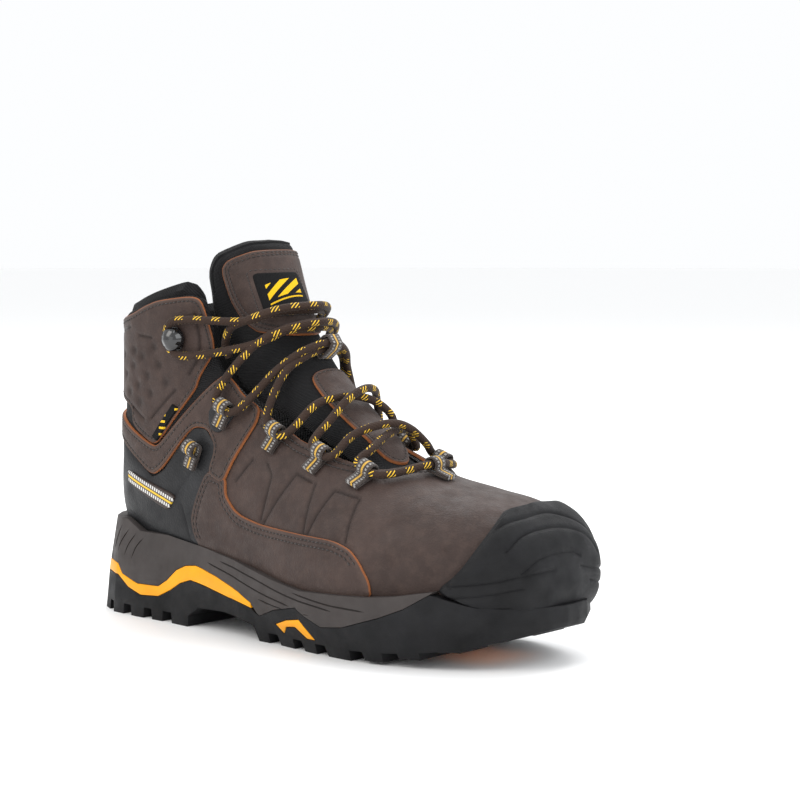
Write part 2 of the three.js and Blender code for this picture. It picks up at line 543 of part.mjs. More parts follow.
add('tongue_label', labelLayer.intersect(frontView(LABEL_FRONT)), 'label');

// --- Lace hardware ------------------------------------------------------------------------
// The place on the upper that lies at (x, z) in side view, on the outer (-1) or inner (1) side.
function onUpper(x, z, sign) {
  const [px, pz] = [x * gradeX, z * gradeZ];
  let found = null;
  for (const face of skin.faces) {
    const [a, b, c] = face.map((i) => skin.points[i]);
    const area = (b.x - a.x) * (c.z - a.z) - (c.x - a.x) * (b.z - a.z);
    const wb = ((px - a.x) * (c.z - a.z) - (c.x - a.x) * (pz - a.z)) / area;
    const wc = ((b.x - a.x) * (pz - a.z) - (px - a.x) * (b.z - a.z)) / area;
    if (wb < 0 || wc < 0 || wb + wc > 1) continue;
    const mix = (list) => new THREE.Vector3().addScaledVector(list[face[0]], 1 - wb - wc)
      .addScaledVector(list[face[1]], wb).addScaledVector(list[face[2]], wc);
    const point = mix(skin.points);
    if (point.y * sign > 0 && (!found || point.y * sign > found.point.y * sign)) {
      found = { point, normal: mix(skin.normals).normalize() };
    }
  }
  return found;
}

// A seat for a loop or hook: across points to the throat, up leaves the leather, along runs back.
function seat(point, normal, along, lift, sign) {
  const back = along.clone().addScaledVector(normal, -along.dot(normal)).normalize();
  const across = new THREE.Vector3().crossVectors(normal, back);
  if (across.y * sign > 0) across.negate();
  const base = point.clone().addScaledVector(normal, lift);
  const third = new THREE.Vector3().crossVectors(across, normal);
  const basis = new THREE.Matrix4().makeBasis(across, normal, third);
  return { basis: basis.setPosition(base), across, up: normal, along: back, base };
}

const at = (frame, a, b, c) => frame.base.clone().addScaledVector(frame.across, a)
  .addScaledVector(frame.up, b).addScaledVector(frame.along, c);

function extrudedOn(frame, shape, width) {
  const options = { depth: width, steps: 1, bevelEnabled: false, curveSegments: 4 };
  const geometry = new THREE.ExtrudeGeometry(shape, options).translate(0, 0, -width / 2);
  return fromGeometry(geometry.applyMatrix4(frame.basis));
}

// A webbing loop: a doubled tail sewn to the leather and an eye that the lace runs through.
const EYE = LACE / 2 + 0.7;
const EYE_OUT = EYE + LOOP.wall;
function loopShape() {
  const shape = new THREE.Shape();
  const meet = Math.PI + Math.asin((EYE_OUT - LOOP.webbing) / EYE_OUT);
  shape.moveTo(-LOOP.tail, 0);
  shape.lineTo(0, 0);
  shape.absarc(0, EYE_OUT, EYE_OUT, -Math.PI / 2, meet, false);
  shape.lineTo(-LOOP.tail, LOOP.webbing);
  const eye = new THREE.Path();
  eye.absarc(0, EYE_OUT, EYE, 0, 2 * Math.PI, true);
  shape.holes.push(eye);
  return shape;
}

const onPanel = 2 * GAP + OVERLAY;
const LOOPS = [{ x: 201, z: 86, lift: GAP }, { x: 175, z: 93.5, lift: GAP },
  { x: 145, z: 103, lift: GAP }, { x: 111, z: 113, lift: onPanel + TRIM + GAP },
  { x: 92, z: 92, lift: onPanel }];
const THROAT_RUN = new THREE.Vector3(-0.93, 0, 0.36);
const loopSeats = {};
for (const { name, sign } of SIDES) {
  loopSeats[name] = LOOPS.map(({ x, z, lift }) => {
    const { point, normal } = onUpper(x, z, sign);
    return seat(point, normal, THROAT_RUN, lift, sign);
  });
  loopSeats[name].forEach((frame, i) => {
    add(`lace_loop_${i + 1}_${name}`, extrudedOn(frame, loopShape(), LOOP.width), 'webbing');
  });
}

// Two loops on the centre line: one at the foot of the throat, one on the tongue.
function centreSeat(t, lift) {
  const point = sectionPoint(t, 0);
  const along = sectionPoint(t + 0.01, 0).sub(sectionPoint(t - 0.01, 0)).normalize();
  const side = new THREE.Vector3(0, 1, 0);
  const up = new THREE.Vector3().crossVectors(along, side).normalize();
  up.multiplyScalar(Math.sign(up.z));
  const base = point.addScaledVector(up, lift);
  const basis = new THREE.Matrix4().makeBasis(along, up, new THREE.Vector3().crossVectors(along, up));
  return { basis: basis.setPosition(base), across: along, up, along: side, base };
}
const throatSeat = centreSeat(0.276, GAP + 0.9);
add('throat_loop', extrudedOn(throatSeat, loopShape(), LOOP.width), 'webbing');

const TONGUE_EYE = { half: LACE / 2 + 1.3, rise: 2 * LACE + 3.5, wall: 1.2 };
const corners = (list) => list.map(([a, b]) => new THREE.Vector2(a, b));
function tongueLoopShape() {
  const { half, rise, wall } = TONGUE_EYE;
  const shape = new THREE.Shape(corners([[-half - wall, 0], [half + wall, 0], [half + wall, rise - 2],
    [half - 1, rise + wall], [1 - half, rise + wall], [-half - wall, rise - 2]]));
  shape.holes.push(new THREE.Path(corners([[-half, wall], [-half, rise - 2.4], [1.8 - half, rise],
    [half - 1.8, rise], [half, rise - 2.4], [half, wall]])));
  return shape;
}
const TONGUE_LOOP_AT = 0.578;
const tongueSeat = centreSeat(TONGUE_LOOP_AT, GAP + 0.3);
add('tongue_loop', extrudedOn(tongueSeat, tongueLoopShape(), LOOP.width), 'webbing');

// A speed hook: a riveted foot whose stem stands on the throat side and curls back over the lace.
function hookShape() {
  const { length, wall, room } = HOOK;
  const rise = 2 * wall + LACE + room;
  const end = length / 2;
  const stem = end - 2.6;
  return new THREE.Shape(corners([[-end, 0], [end - 1, 0], [end + 0.2, 2], [end + 0.2, rise - 2.6],
    [end - 1.5, rise - 0.4], [4 - end, rise], [-end, rise - 1.2], [-end, rise - 2.2],
    [stem - 0.8, rise - 2.4], [stem, rise - 3.2], [stem, wall + 1], [stem - 0.8, wall], [-end, wall]]));
}
const hookSeats = {};
for (const { name, sign } of SIDES) {
  const { point, normal } = onUpper(77, 148, sign);
  hookSeats[name] = seat(point, normal, new THREE.Vector3(-0.2, 0, 1), onPanel, sign);
  add(`lace_hook_${name}`, extrudedOn(hookSeats[name], hookShape(), HOOK.width), 'hookBlack');
}

// --- Lace --------------------------------------------------------------------------------
// Each half starts at the throat loop, crosses from side to side through the loops, goes round
// its hook, crosses once more and is tucked between the tongue and the collar.
const OVER = onPanel + 0.7 + LACE / 2;
const CLIMB = LACE + 0.9;

// Five places from side to side: along the boot they go from one t over the middle to another.
function crossing(side, [from, middle, to], reach, lift) {
  return [-1, -0.45, 0, 0.45, 1].map((k) => {
    const t = middle + Math.abs(k) * ((k < 0 ? from : to) - middle);
    return overLast(t, -side * reach * k, lift(1 - Math.abs(k)));
  });
}
const MOUTH = LOOP.width / 2 + 0.5952 * LACE;
const through = (frame) => [-MOUTH, MOUTH].map((c) => at(frame, 0, EYE_OUT, c));
const HELD = HOOK.wall + LACE / 2 + 0.4;
const AROUND_HOOK = [[3, HELD + 0.3, -8.8], [-1.4, HELD, -5.5], [-2.2, HELD, 0], [-1.4, HELD, 5.5],
  [3, HELD + 0.3, 8.8]];
const round = (frame) => AROUND_HOOK.map(([a, b, c]) => at(frame, a, b, c));
function half({ name, sign }) {
  const other = name === 'lateral' ? 'medial' : 'lateral';
  const climb = name === 'lateral' ? 0 : CLIMB;
  const inTongueLoop = GAP + 1.5 + TONGUE_EYE.wall + LACE / 2 + climb;
  const over = (middle) => OVER + 1 + climb * middle ** 0.6;
  const inEye = (middle) => OVER + middle * (inTongueLoop - OVER);
  return [
    at(throatSeat, 0, EYE_OUT, sign * 5.5),
    ...through(loopSeats[name][0]),
    ...crossing(-sign, [0.345, 0.365, 0.385], 0.13, over),
    ...through(loopSeats[other][1]),
    ...crossing(sign, [0.435, 0.455, 0.475], 0.13, over),
    ...through(loopSeats[name][2]),
    ...crossing(-sign, [0.57, TONGUE_LOOP_AT, 0.586], 0.13, inEye),
    ...through(loopSeats[other][3]),
    ...crossing(sign, [0.662, 0.63, 0.665], 0.15, over),
    ...round(hookSeats[name]),
    ...crossing(-sign, [0.725, 0.676, 0.725], 0.15, over),
    overLast(0.738, sign * 0.2, 3),
    overLast(0.72, sign * 0.235, -1.5),
    overLast(0.695, sign * 0.238, -3),
  ];
}
const laceRoute = [...half(SIDES[0]).reverse(), at(throatSeat, 0, EYE_OUT, 0), ...half(SIDES[1])];

// The lace bends at each place of its route and runs straight between them.
class Route extends THREE.Curve {
  getPointAt(u) {
    return laceRoute[Math.round(u * (laceRoute.length - 1))].clone();
  }
  getTangentAt(u) {
    const i = Math.round(u * (laceRoute.length - 1));
    const next = laceRoute[Math.min(laceRoute.length - 1, i + 1)];
    return next.clone().sub(laceRoute[Math.max(0, i - 1)]).normalize();
  }
}
const laceSection = new THREE.Shape(Array.from({ length: LACE_SIDES }, (_, i) => {
  const angle = 2 * Math.PI * i / LACE_SIDES;
  return new THREE.Vector2(LACE / 2 * Math.cos(angle), LACE / 2 * Math.sin(angle));
}));
const lace = new THREE.ExtrudeGeometry(laceSection,
  { steps: laceRoute.length - 1, bevelEnabled: false, extrudePath: new Route() });
add('lace', fromGeometry(lace), 'lace');

// The origin is the middle of the boot's box, on the ground.
boot.updateMatrixWorld(true);
const box = new THREE.Box3().setFromObject(boot);
boot.position.set(-(box.min.x + box.max.x) / 2, -(box.min.y + box.max.y) / 2, -box.min.z);
export default boot;
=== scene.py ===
import math

import bpy
import bmesh
import numpy as np
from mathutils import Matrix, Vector, bvhtree, geometry, kdtree


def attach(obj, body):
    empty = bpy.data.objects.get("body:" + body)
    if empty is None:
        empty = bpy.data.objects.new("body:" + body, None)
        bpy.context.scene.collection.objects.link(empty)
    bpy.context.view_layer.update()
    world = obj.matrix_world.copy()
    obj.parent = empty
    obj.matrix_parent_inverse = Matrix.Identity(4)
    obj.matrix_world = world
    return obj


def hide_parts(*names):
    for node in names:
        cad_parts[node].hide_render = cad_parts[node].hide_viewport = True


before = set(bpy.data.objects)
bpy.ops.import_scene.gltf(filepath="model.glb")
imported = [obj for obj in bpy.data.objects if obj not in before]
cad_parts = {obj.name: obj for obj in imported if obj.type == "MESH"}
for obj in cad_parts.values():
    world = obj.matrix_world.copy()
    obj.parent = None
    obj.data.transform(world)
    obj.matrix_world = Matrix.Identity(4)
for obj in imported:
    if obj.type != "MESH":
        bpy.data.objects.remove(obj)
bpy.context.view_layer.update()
bpy.ops.object.select_all(action="DESELECT")

# --- Camera, floor and light --------------------------------------------------------------
# A long lens at knee height looks at the boot's outer front quarter. The floor is a wide pale
# disc, and the light comes from four large soft panels and an even pale sky.
LOOK_AT = Vector((0.0480, 0.0029, 0.1203))
AZIMUTH, ELEVATION, DISTANCE = math.radians(41.02), math.radians(4.72), 1.0506
LENS, SENSOR = 96.05, 36
BOOT_MIDDLE = Vector((0, 0, 0.08))
away = Vector((math.sin(AZIMUTH) * math.cos(ELEVATION), -math.cos(AZIMUTH) * math.cos(ELEVATION),
               math.sin(ELEVATION)))
bpy.ops.object.camera_add(location=LOOK_AT + away * DISTANCE,
                          rotation=away.to_track_quat("Z", "Y").to_euler())
camera = bpy.context.object
camera.name = "camera"
camera.data.lens = LENS
camera.data.sensor_width = SENSOR
camera.data.clip_end = 50
bpy.context.scene.camera = camera

bpy.ops.mesh.primitive_circle_add(vertices=96, radius=9, fill_type="NGON", location=(0, 0, 0))
floor = bpy.context.object
floor.name = "floor"
floor_look = bpy.data.materials.new("pale_floor")
floor_look.use_nodes = True
floor_inputs = floor_look.node_tree.nodes["Principled BSDF"].inputs
floor_inputs["Base Color"].default_value = (0.97, 0.97, 0.97, 1)
floor_inputs["Roughness"].default_value = 0.6
floor.data.materials.append(floor_look)

for name, place, size, power, warmth in (
        ("key_panel", (-0.25, -1.35, 1.35), 1.1, 14, (1, 0.97, 0.93)),
        ("side_panel", (1.5, 0.3, 1.0), 1.3, 12, (0.94, 0.97, 1)),
        ("top_panel", (-0.3, 0.9, 1.7), 1.6, 24, (1, 1, 1)),
        ("low_panel", (0.55, -1.5, 0.35), 0.9, 2, (1, 1, 1))):
    bpy.ops.object.light_add(type="AREA", location=place)
    panel_light = bpy.context.object
    panel_light.name = name
    panel_light.data.size = size
    panel_light.data.energy = power
    panel_light.data.color = warmth
    toward = Vector(place) - BOOT_MIDDLE
    panel_light.rotation_euler = toward.to_track_quat("Z", "Y").to_euler()
sky = bpy.data.worlds.new("pale_sky")
sky.use_nodes = True
sky_inputs = sky.node_tree.nodes["Background"].inputs
sky_inputs["Color"].default_value = (0.98, 0.99, 1.0, 1)
sky_inputs["Strength"].default_value = 1.0
bpy.context.scene.world = sky
bpy.context.scene.view_settings.view_transform = "Standard"

# --- Lace ---------------------------------------------------------------------------------
# A round braided lace about 1.37 m long, brown with small yellow flecks. It starts at the loop at
# the foot of the tongue, crosses through the side loops, goes round the hooks, and its ends are
# tucked behind the tongue.
# From the back of the heel to the middle of the boot's frame, in millimetres.
SHIFT = np.array((-147.982, 2.874, 0.0))


def metres(points):
    """Points drawn in millimetres from the back of the heel, as places in the boot's frame."""
    return (np.asarray(points, float) + SHIFT) / 1000


def smooth_line(points, step):
    """A curve through the points, as places a step apart."""
    p = np.asarray(points, float)
    p = np.vstack((2 * p[0] - p[1], p, 2 * p[-1] - p[-2]))
    out = []
    for a, b, c, d in zip(p, p[1:], p[2:], p[3:]):
        k1, k2, k3 = (max(1e-6, np.linalg.norm(v)) ** 0.5 for v in (b - a, c - b, d - c))
        m1 = (c - b) + k2 * ((b - a) / k1 - (c - a) / (k1 + k2))
        m2 = (c - b) + k2 * ((d - c) / k3 - (d - b) / (k2 + k3))
        for s in np.linspace(0, 1, 13)[:-1]:
            out.append((2 * s ** 3 - 3 * s ** 2 + 1) * b + (s ** 3 - 2 * s ** 2 + s) * m1
                       + (3 * s ** 2 - 2 * s ** 3) * c + (s ** 3 - s ** 2) * m2)
    out.append(p[-2])
    return even(out, step)


def even(line, step, closed=False):
    """The same line with its points a step apart."""
    line = np.asarray(line, float)
    if closed:
        line = np.vstack((line, line[:1]))
    run = np.concatenate(([0], np.cumsum(np.linalg.norm(np.diff(line, axis=0), axis=1))))
    count = max(2, int(round(run[-1] / step)))
    places = np.linspace(0, run[-1], count + 1)
    if closed:
        places = places[:-1]
    return np.stack([np.interp(places, run, line[:, k]) for k in range(line.shape[1])], 1)


def frames_along(line):
    """Unit vectors along, sideways and up at each point of a line, turning as little as they can."""
    along = np.gradient(line, axis=0)
    along /= np.linalg.norm(along, axis=1)[:, None]
    side = np.cross(along[0], (0.3, 0.2, 0.9))
    sides = []
    for direction in along:
        side = side - direction * side.dot(direction)
        side /= np.linalg.norm(side)
        sides.append(side)
    sides = np.array(sides)
    return along, sides, np.cross(along, sides)


def mesh_piece(name, points, faces, uv=None):
    """A new object from points in metres and lists of corner numbers."""
    mesh = bpy.data.meshes.new(name)
    mesh.from_pydata([tuple(p) for p in points], [], [tuple(int(i) for i in f) for f in faces])
    if uv is not None:
        corners = np.empty(len(mesh.loops), int)
        mesh.loops.foreach_get("vertex_index", corners)
        cloth_map = mesh.uv_layers.new(name="cloth").data
        cloth_map.foreach_set("uv", np.asarray(uv, float)[corners].ravel())
    mesh.polygons.foreach_set("use_smooth", [True] * len(mesh.polygons))
    mesh.update()
    piece = bpy.data.objects.new(name, mesh)
    bpy.context.scene.collection.objects.link(piece)
    return piece


class Look:
    """A material and short calls that add and join its shader nodes."""

    def __init__(self, name, color, roughness, **constants):
        self.material = bpy.data.materials.new(name)
        self.material.use_nodes = True
        self.tree = self.material.node_tree
        self.shader = self.tree.nodes["Principled BSDF"]
        self.shader.inputs["Base Color"].default_value = (*color, 1)
        self.shader.inputs["Roughness"].default_value = roughness
        for key, value in constants.items():
            self.shader.inputs[key.replace("_", " ")].default_value = value
        self.place = self.add("ShaderNodeTexCoord").outputs["Object"]

    def add(self, kind, **values):
        made = self.tree.nodes.new(kind)
        for key, value in values.items():
            if hasattr(made, key):
                setattr(made, key, value)
            else:
                self.put(made.inputs[key.replace("_", " ")], value)
        return made

    def put(self, socket, value):
        if isinstance(value, bpy.types.NodeSocket):
            self.tree.links.new(value, socket)
        else:
            socket.default_value = value

    def math(self, operation, a, b=0.5, c=0.0):
        made = self.tree.nodes.new("ShaderNodeMath")
        made.operation = operation
        for socket, value in zip(made.inputs, (a, b, c)):
            self.put(socket, value)
        return made.outputs[0]

    def times(self, a, b):
        return self.math("MULTIPLY", a, b)

    def plus(self, a, b):
        return self.math("ADD", a, b)

    def minus(self, a, b):
        return self.math("SUBTRACT", a, b)

    def below(self, a, b):
        return self.math("LESS_THAN", a, b)

    def size(self, a):
        return self.math("ABSOLUTE", a)

    def fract(self, a):
        return self.math("FRACT", a)

    def sine(self, a):
        return self.math("SINE", a)

    def noise(self, scale, detail=4.0, rough=0.55):
        made = self.add("ShaderNodeTexNoise", Vector=self.place, Scale=scale, Detail=detail)
        made.inputs["Roughness"].default_value = rough
        return made.outputs["Fac"]

    def range(self, value, low, high, to_low=0.0, to_high=1.0):
        made = self.add("ShaderNodeMapRange", Value=value)
        for key, number in zip(("From Min", "From Max", "To Min", "To Max"),
                               (low, high, to_low, to_high)):
            made.inputs[key].default_value = number
        return made.outputs["Result"]

    def mix(self, share, a, b):
        made = self.tree.nodes.new("ShaderNodeMix")
        made.data_type = "RGBA"
        self.put(made.inputs[0], share)
        colors = [s for s in made.inputs if s.type == "RGBA"]
        for socket, value in zip(colors, (a, b)):
            self.put(socket, value if isinstance(value, bpy.types.NodeSocket) else (*value, 1))
        return [s for s in made.outputs if s.type == "RGBA"][0]

    def color(self, socket):
        self.put(self.shader.inputs["Base Color"], socket)

    def roughness(self, socket):
        self.put(self.shader.inputs["Roughness"], socket)

    def cloudy(self, clouds, low, high, one, other):
        """Colours the piece between two colours, by soft clouds."""
        self.color(self.mix(self.range(clouds, low, high), one, other))

    def patchy(self, scale, detail, low, high):
        """Makes the piece glossier in some patches than in others."""
        self.roughness(self.range(self.noise(scale, detail), 0.3, 0.7, low, high))

    def bump(self, height, depth, strength=1.0, under=None):
        made = self.add("ShaderNodeBump", Height=height)
        made.inputs["Strength"].default_value = strength
        made.inputs["Distance"].default_value = depth
        if under is not None:
            self.put(made.inputs["Normal"], under)
        self.put(self.shader.inputs["Normal"], made.outputs["Normal"])
        return made.outputs["Normal"]

    def across(self):
        """The two numbers of the piece's own cloth map."""
        uv = self.add("ShaderNodeUVMap", uv_map="cloth").outputs["UV"]
        split = self.add("ShaderNodeSeparateXYZ", Vector=uv)
        return uv, split.outputs["X"], split.outputs["Y"]


# The lace's route in millimetres, from the end tucked on the inner side to the other end.
LACE_POINTS = (
    (102.9, 27.1, 138.4), (101.4, 28.6, 144.8), (106.8, 30.2, 153.7), (115.4, 28.3, 157.5),
    (127.2, 16.8, 162.3), (133.8, 1, 162.8), (127.4, -14.8, 162.5), (115.7, -26.7, 157.8),
    (79.8, -43.5, 156.9), (76.1, -43.9, 152.8), (76.3, -43.5, 147.3), (78, -42.9, 142),
    (82.9, -41.9, 139.6), (121.4, -26.5, 146.1), (133.4, -14.6, 153.1), (139.3, 1.1, 154.4),
    (133.4, 16.7, 152.7), (121.5, 28.2, 145.4), (106.3, 40.7, 117), (118.3, 39.6, 112),
    (136.3, 24.1, 134.4), (143.1, 13.2, 141.7), (145.8, 0.7, 143.8), (144.3, -11.8, 140.7),
    (139.4, -22.9, 132.4), (139.4, -35.9, 107.2), (151.6, -36.5, 102.8), (161.7, -23.4, 117.8),
    (167, -11.6, 121.1), (169.8, -0.9, 120.7), (171.3, 9.3, 117.6), (172, 20.2, 110.6),
    (170.3, 28.7, 98.8), (182.3, 28.2, 93.7), (185.6, 18.9, 102.9), (189.8, 7.6, 105),
    (192.6, -2, 104.4), (195.1, -11.8, 102.2), (197.7, -23.5, 97.6), (196.4, -31.4, 92),
    (208.5, -31.4, 87.2), (219, -6, 90.4), (219, -0.5, 90.4), (219, 5, 90.4), (208.3, 25.7, 87.5),
    (196, 25.4, 91.6), (197.4, 18.6, 97.2), (196.7, 8.1, 105.1), (195.3, -2, 108.8),
    (191.6, -12.6, 108.2), (185.6, -23.9, 103.5), (182.1, -35.8, 94.1), (170, -35.6, 98.7),
    (171.9, -23.5, 111.4), (173.3, -12.5, 120.6), (173.1, -0.9, 124.7), (169.2, 10.9, 123.4),
    (161.8, 21.3, 117), (151.9, 33, 102.2), (140, 33.8, 107.2), (139.6, 23.6, 131.8),
    (146.3, 14.3, 141.9), (149.9, 0.7, 147), (144.9, -13.2, 143.6), (136.2, -22.9, 134.9),
    (118, -39, 112.3), (106, -39.6, 117.1), (121.8, -26.5, 145.6), (135.9, -16.7, 154.4),
    (143.5, 1.1, 157.3), (135.5, 18.9, 154.6), (121.1, 28.2, 146), (82.8, 43, 139.6),
    (78, 43.9, 142), (76.2, 44.6, 147.3), (76, 44.9, 152.8), (79.7, 44.6, 156.9),
    (115.4, 28.3, 157.5), (129.7, 18.9, 163.7), (138.1, 1, 165.5), (129.9, -16.9, 163.8),
    (115.7, -26.7, 157.8), (107, -28.8, 153.9), (101.6, -27.3, 144.9), (103, -25.8, 138.5))
LACE_WIDTH = 4.2
lace_line = smooth_line(LACE_POINTS, 0.9)
along, sideways, upward = frames_along(lace_line)
run = np.concatenate(([0], np.cumsum(np.linalg.norm(np.diff(lace_line, axis=0), axis=1))))
LACE_STRANDS = 14
lace_points, lace_map, lace_faces = [], [], []
for k in range(len(lace_line)):
    for j in range(LACE_STRANDS + 1):
        turn = 2 * math.pi * j / LACE_STRANDS
        ray = sideways[k] * math.cos(turn) + upward[k] * math.sin(turn)
        lace_points.append(lace_line[k] + ray * LACE_WIDTH / 2)
        lace_map.append((j / LACE_STRANDS, run[k] / 10))
ring = LACE_STRANDS + 1
for k in range(len(lace_line) - 1):
    for j in range(LACE_STRANDS):
        a = k * ring + j
        lace_faces.append((a, a + 1, a + ring + 1, a + ring))
for end, order in ((0, -1), (len(lace_line) - 1, 1)):
    cap = [end * ring + j for j in range(LACE_STRANDS)]
    lace_faces.append(cap[::order])
lace = mesh_piece("shoelace", metres(lace_points), lace_faces, lace_map)

braid = Look("braided_lace", (0.03, 0.018, 0.012), 0.75, Sheen_Weight=0.05, Specular_IOR_Level=0.2)
_, around, length = braid.across()
one_way = braid.fract(braid.plus(braid.times(around, 6), braid.times(length, 5)))
other_way = braid.fract(braid.minus(braid.times(around, 6), braid.times(length, 5)))
strand_a = braid.minus(0.5, braid.size(braid.minus(one_way, 0.5)))
strand_b = braid.minus(0.5, braid.size(braid.minus(other_way, 0.5)))
strands = braid.times(strand_a, strand_b)
fleck = braid.times(braid.below(one_way, 0.34), braid.below(braid.fract(length), 0.42))
fleck = braid.times(fleck, braid.below(braid.fract(braid.times(around, 2)), 0.55))
cord_brown = braid.mix(braid.noise(60), (0.020, 0.011, 0.008), (0.045, 0.026, 0.018))
braid.color(braid.mix(fleck, cord_brown, (0.80, 0.50, 0.04)))
braid.bump(strands, 0.0009, 0.9)
lace.data.materials.append(braid.material)
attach(lace, "root")
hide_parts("lace")

# --- Vamp -----------------------------------------------------------------------------------
# The brown oiled leather over the toes and instep, pulled over the last and cemented under the
# midsole. Branching grooves are pressed into each side below the lace loops, and two rows of
# stitches follow the throat.
# The last's sections from toe to collar: t, back point (x, z), front point (x, z), half widths on
# the outer and inner side, middle (y), widest place, and how square the front and back are.
LAST = np.array((
    (0.00, 292, 40, 292, 40, 0, 0, 8, 0.45, 2.2, 2.8),
    (0.02, 289, 30, 290, 54, 19, 19, 8, 0.45, 2.2, 3.0),
    (0.06, 281, 25, 281, 66, 33, 33, 7, 0.44, 2.3, 3.2),
    (0.12, 266, 21, 265, 75, 45, 43, 6, 0.40, 2.4, 3.4),
    (0.20, 240, 18, 241, 80, 52, 49, 3, 0.36, 2.4, 3.6),
    (0.29, 208, 17, 213, 87, 55, 50, -1, 0.33, 2.2, 3.6),
    (0.37, 175, 18, 188, 100, 52, 46, -2, 0.31, 2.05, 3.4),
    (0.45, 138, 20, 167, 115, 46, 42, -1, 0.34, 2.0, 3.2),
    (0.53, 95, 22, 150, 131, 41, 39, 0, 0.38, 2.0, 3.0),
    (0.61, 50, 24, 137, 147, 38, 37, 1, 0.42, 2.0, 2.8),
    (0.69, 16, 42, 127, 162, 38, 37, 1, 0.46, 2.0, 2.4),
    (0.78, 12, 80, 119, 177, 39, 38, 1, 0.48, 2.05, 2.2),
    (0.87, 16, 118, 113, 191, 41, 40, 1, 0.48, 2.1, 2.2),
    (0.94, 19, 146, 108, 203, 43, 42, 1, 0.48, 2.1, 2.2),
    (1.00, 19, 166, 104, 213, 44, 43, 1, 0.48, 2.1, 2.2)))
places, rows = LAST[:, 0], LAST[:, 1:]
steps = np.diff(places)[:, None]
rises = np.diff(rows, axis=0) / steps
between = (rises[:-1] * steps[1:] + rises[1:] * steps[:-1]) / (steps[1:] + steps[:-1])
slopes = np.vstack((rises[:1], between, rises[-1:]))
ARC = np.linspace(0, math.pi, 81)


def skin(t, v, raised=None):
    """Points of the last. t runs from toe (0) to collar (1), v from the front line (0) down the
    outer side to the sole and back (1) and up the inner side (2). raised lifts them off it."""
    t, v = np.broadcast_arrays(np.atleast_1d(np.asarray(t, float)), np.asarray(v, float))
    if raised is not None:
        away_from = skin_normal(t, v)
        return skin(t, v) + away_from * np.broadcast_to(np.asarray(raised, float), t.shape)[:, None]
    i = np.clip(np.searchsorted(places, t, side="right") - 1, 0, len(places) - 2)
    span = steps[i]
    s = (t[:, None] - places[i][:, None]) / span
    row = ((2 * s ** 3 - 3 * s ** 2 + 1) * rows[i] + (s ** 3 - 2 * s ** 2 + s) * span * slopes[i]
           + (3 * s ** 2 - 2 * s ** 3) * rows[i + 1] + (s ** 3 - s ** 2) * span * slopes[i + 1])
    bx, bz, fx, fz, outer, inner, centre, widest, front, back = (row[:, k:k + 1] for k in range(10))
    v = v % 2
    share = np.where(v <= 1, v, 2 - v)
    half = np.where(v <= 1, -outer[:, 0], inner[:, 0])[:, None]
    c, s = np.cos(ARC)[None, :], np.sin(ARC)[None, :]
    power = np.where(c >= 0, 2 / front, 2 / back)
    up = widest + np.where(c >= 0, 1 - widest, -widest) * np.abs(c) ** power
    ring = np.stack((bx + (fx - bx) * up, centre + half * np.abs(s) ** power, bz + (fz - bz) * up), 2)
    lengths = np.linalg.norm(np.diff(ring, axis=1), axis=2).cumsum(1)
    lengths = np.hstack((np.zeros((len(t), 1)), lengths))
    goal = share * lengths[:, -1]
    k = np.clip((lengths < goal[:, None]).sum(1), 1, len(ARC) - 1)
    n = np.arange(len(t))
    piece = lengths[n, k] - lengths[n, k - 1]
    local = np.where(piece > 0, (goal - lengths[n, k - 1]) / np.maximum(piece, 1e-9), 0)[:, None]
    return ring[n, k - 1] * (1 - local) + ring[n, k] * local


def skin_normal(t, v):
    t = np.clip(t, 0.004, 1)
    along_t = skin(np.minimum(1, t + 0.006), v) - skin(t - 0.004, v)
    along_v = skin(t, v + 0.012) - skin(t, v - 0.012)
    n = np.cross(along_t, along_v)
    return n / np.maximum(1e-9, np.linalg.norm(n, axis=1))[:, None]


grid_t, grid_v = np.meshgrid(np.linspace(0.002, 1, 330), np.linspace(0, 2, 321), indexing="ij")
grid_t, grid_v = grid_t.ravel(), grid_v.ravel()
grid_points = np.vstack([skin(a, b) for a, b in zip(np.array_split(grid_t, 12),
                                                    np.array_split(grid_v, 12))])


def find(points, side=None, axes=(0, 2), to_t=1.0):
    """The places (t, v) that lie at points in side view, on the outer (-1) or inner (1) side, or
    in front view with axes (1, 2), looking no further along than to_t."""
    if side is None:
        mask = ((grid_v < 0.6) | (grid_v > 1.4) | (to_t < 0.3)) & (grid_t < to_t)
    else:
        mask = grid_v <= 1 if side < 0 else grid_v >= 1
    t, v, p = grid_t[mask], grid_v[mask], grid_points[mask][:, axes]
    out = []
    for q in np.asarray(points, float):
        k = ((p - q) ** 2).sum(1).argmin()
        a, b = t[k], v[k]
        for _ in range(4):
            here, da, db = skin([a, a + 1e-3, a], [b, b, b + 1e-3])[:, axes]
            m = np.stack(((da - here) / 1e-3, (db - here) / 1e-3), 1)
            if abs(np.linalg.det(m)) < 400:
                break
            move = np.linalg.solve(m, q - here)
            if abs(move[0]) > 0.02 or abs(move[1]) > 0.03:
                break
            a, b = a + move[0], b + move[1]
        if side is not None:
            b = min(max(b, 0), 1) if side < 0 else min(max(b, 1), 2)
            b = round(b) if abs(b - 1) < 0.012 else b
        out.append((min(a, 1.0), b))
    out = np.array(out)
    if side is None:
        out[:, 1] = (out[:, 1] + 1) % 2 - 1
    return out


laid_t = np.linspace(0, 1, 201)
laid_length = np.mean([np.linalg.norm(np.diff(skin(laid_t, k), axis=0), axis=1)
                       for k in (0.3, 0.6, 1.4, 1.7)], axis=0)
laid_length = np.concatenate(([0], np.cumsum(laid_length)))
outer_girth, inner_girth = (
    np.array([np.linalg.norm(np.diff(skin(np.full(60, t), half_turn), axis=0), axis=1).sum()
              for t in laid_t])
    for half_turn in (np.linspace(0, 1, 60), np.linspace(1, 2, 60)))


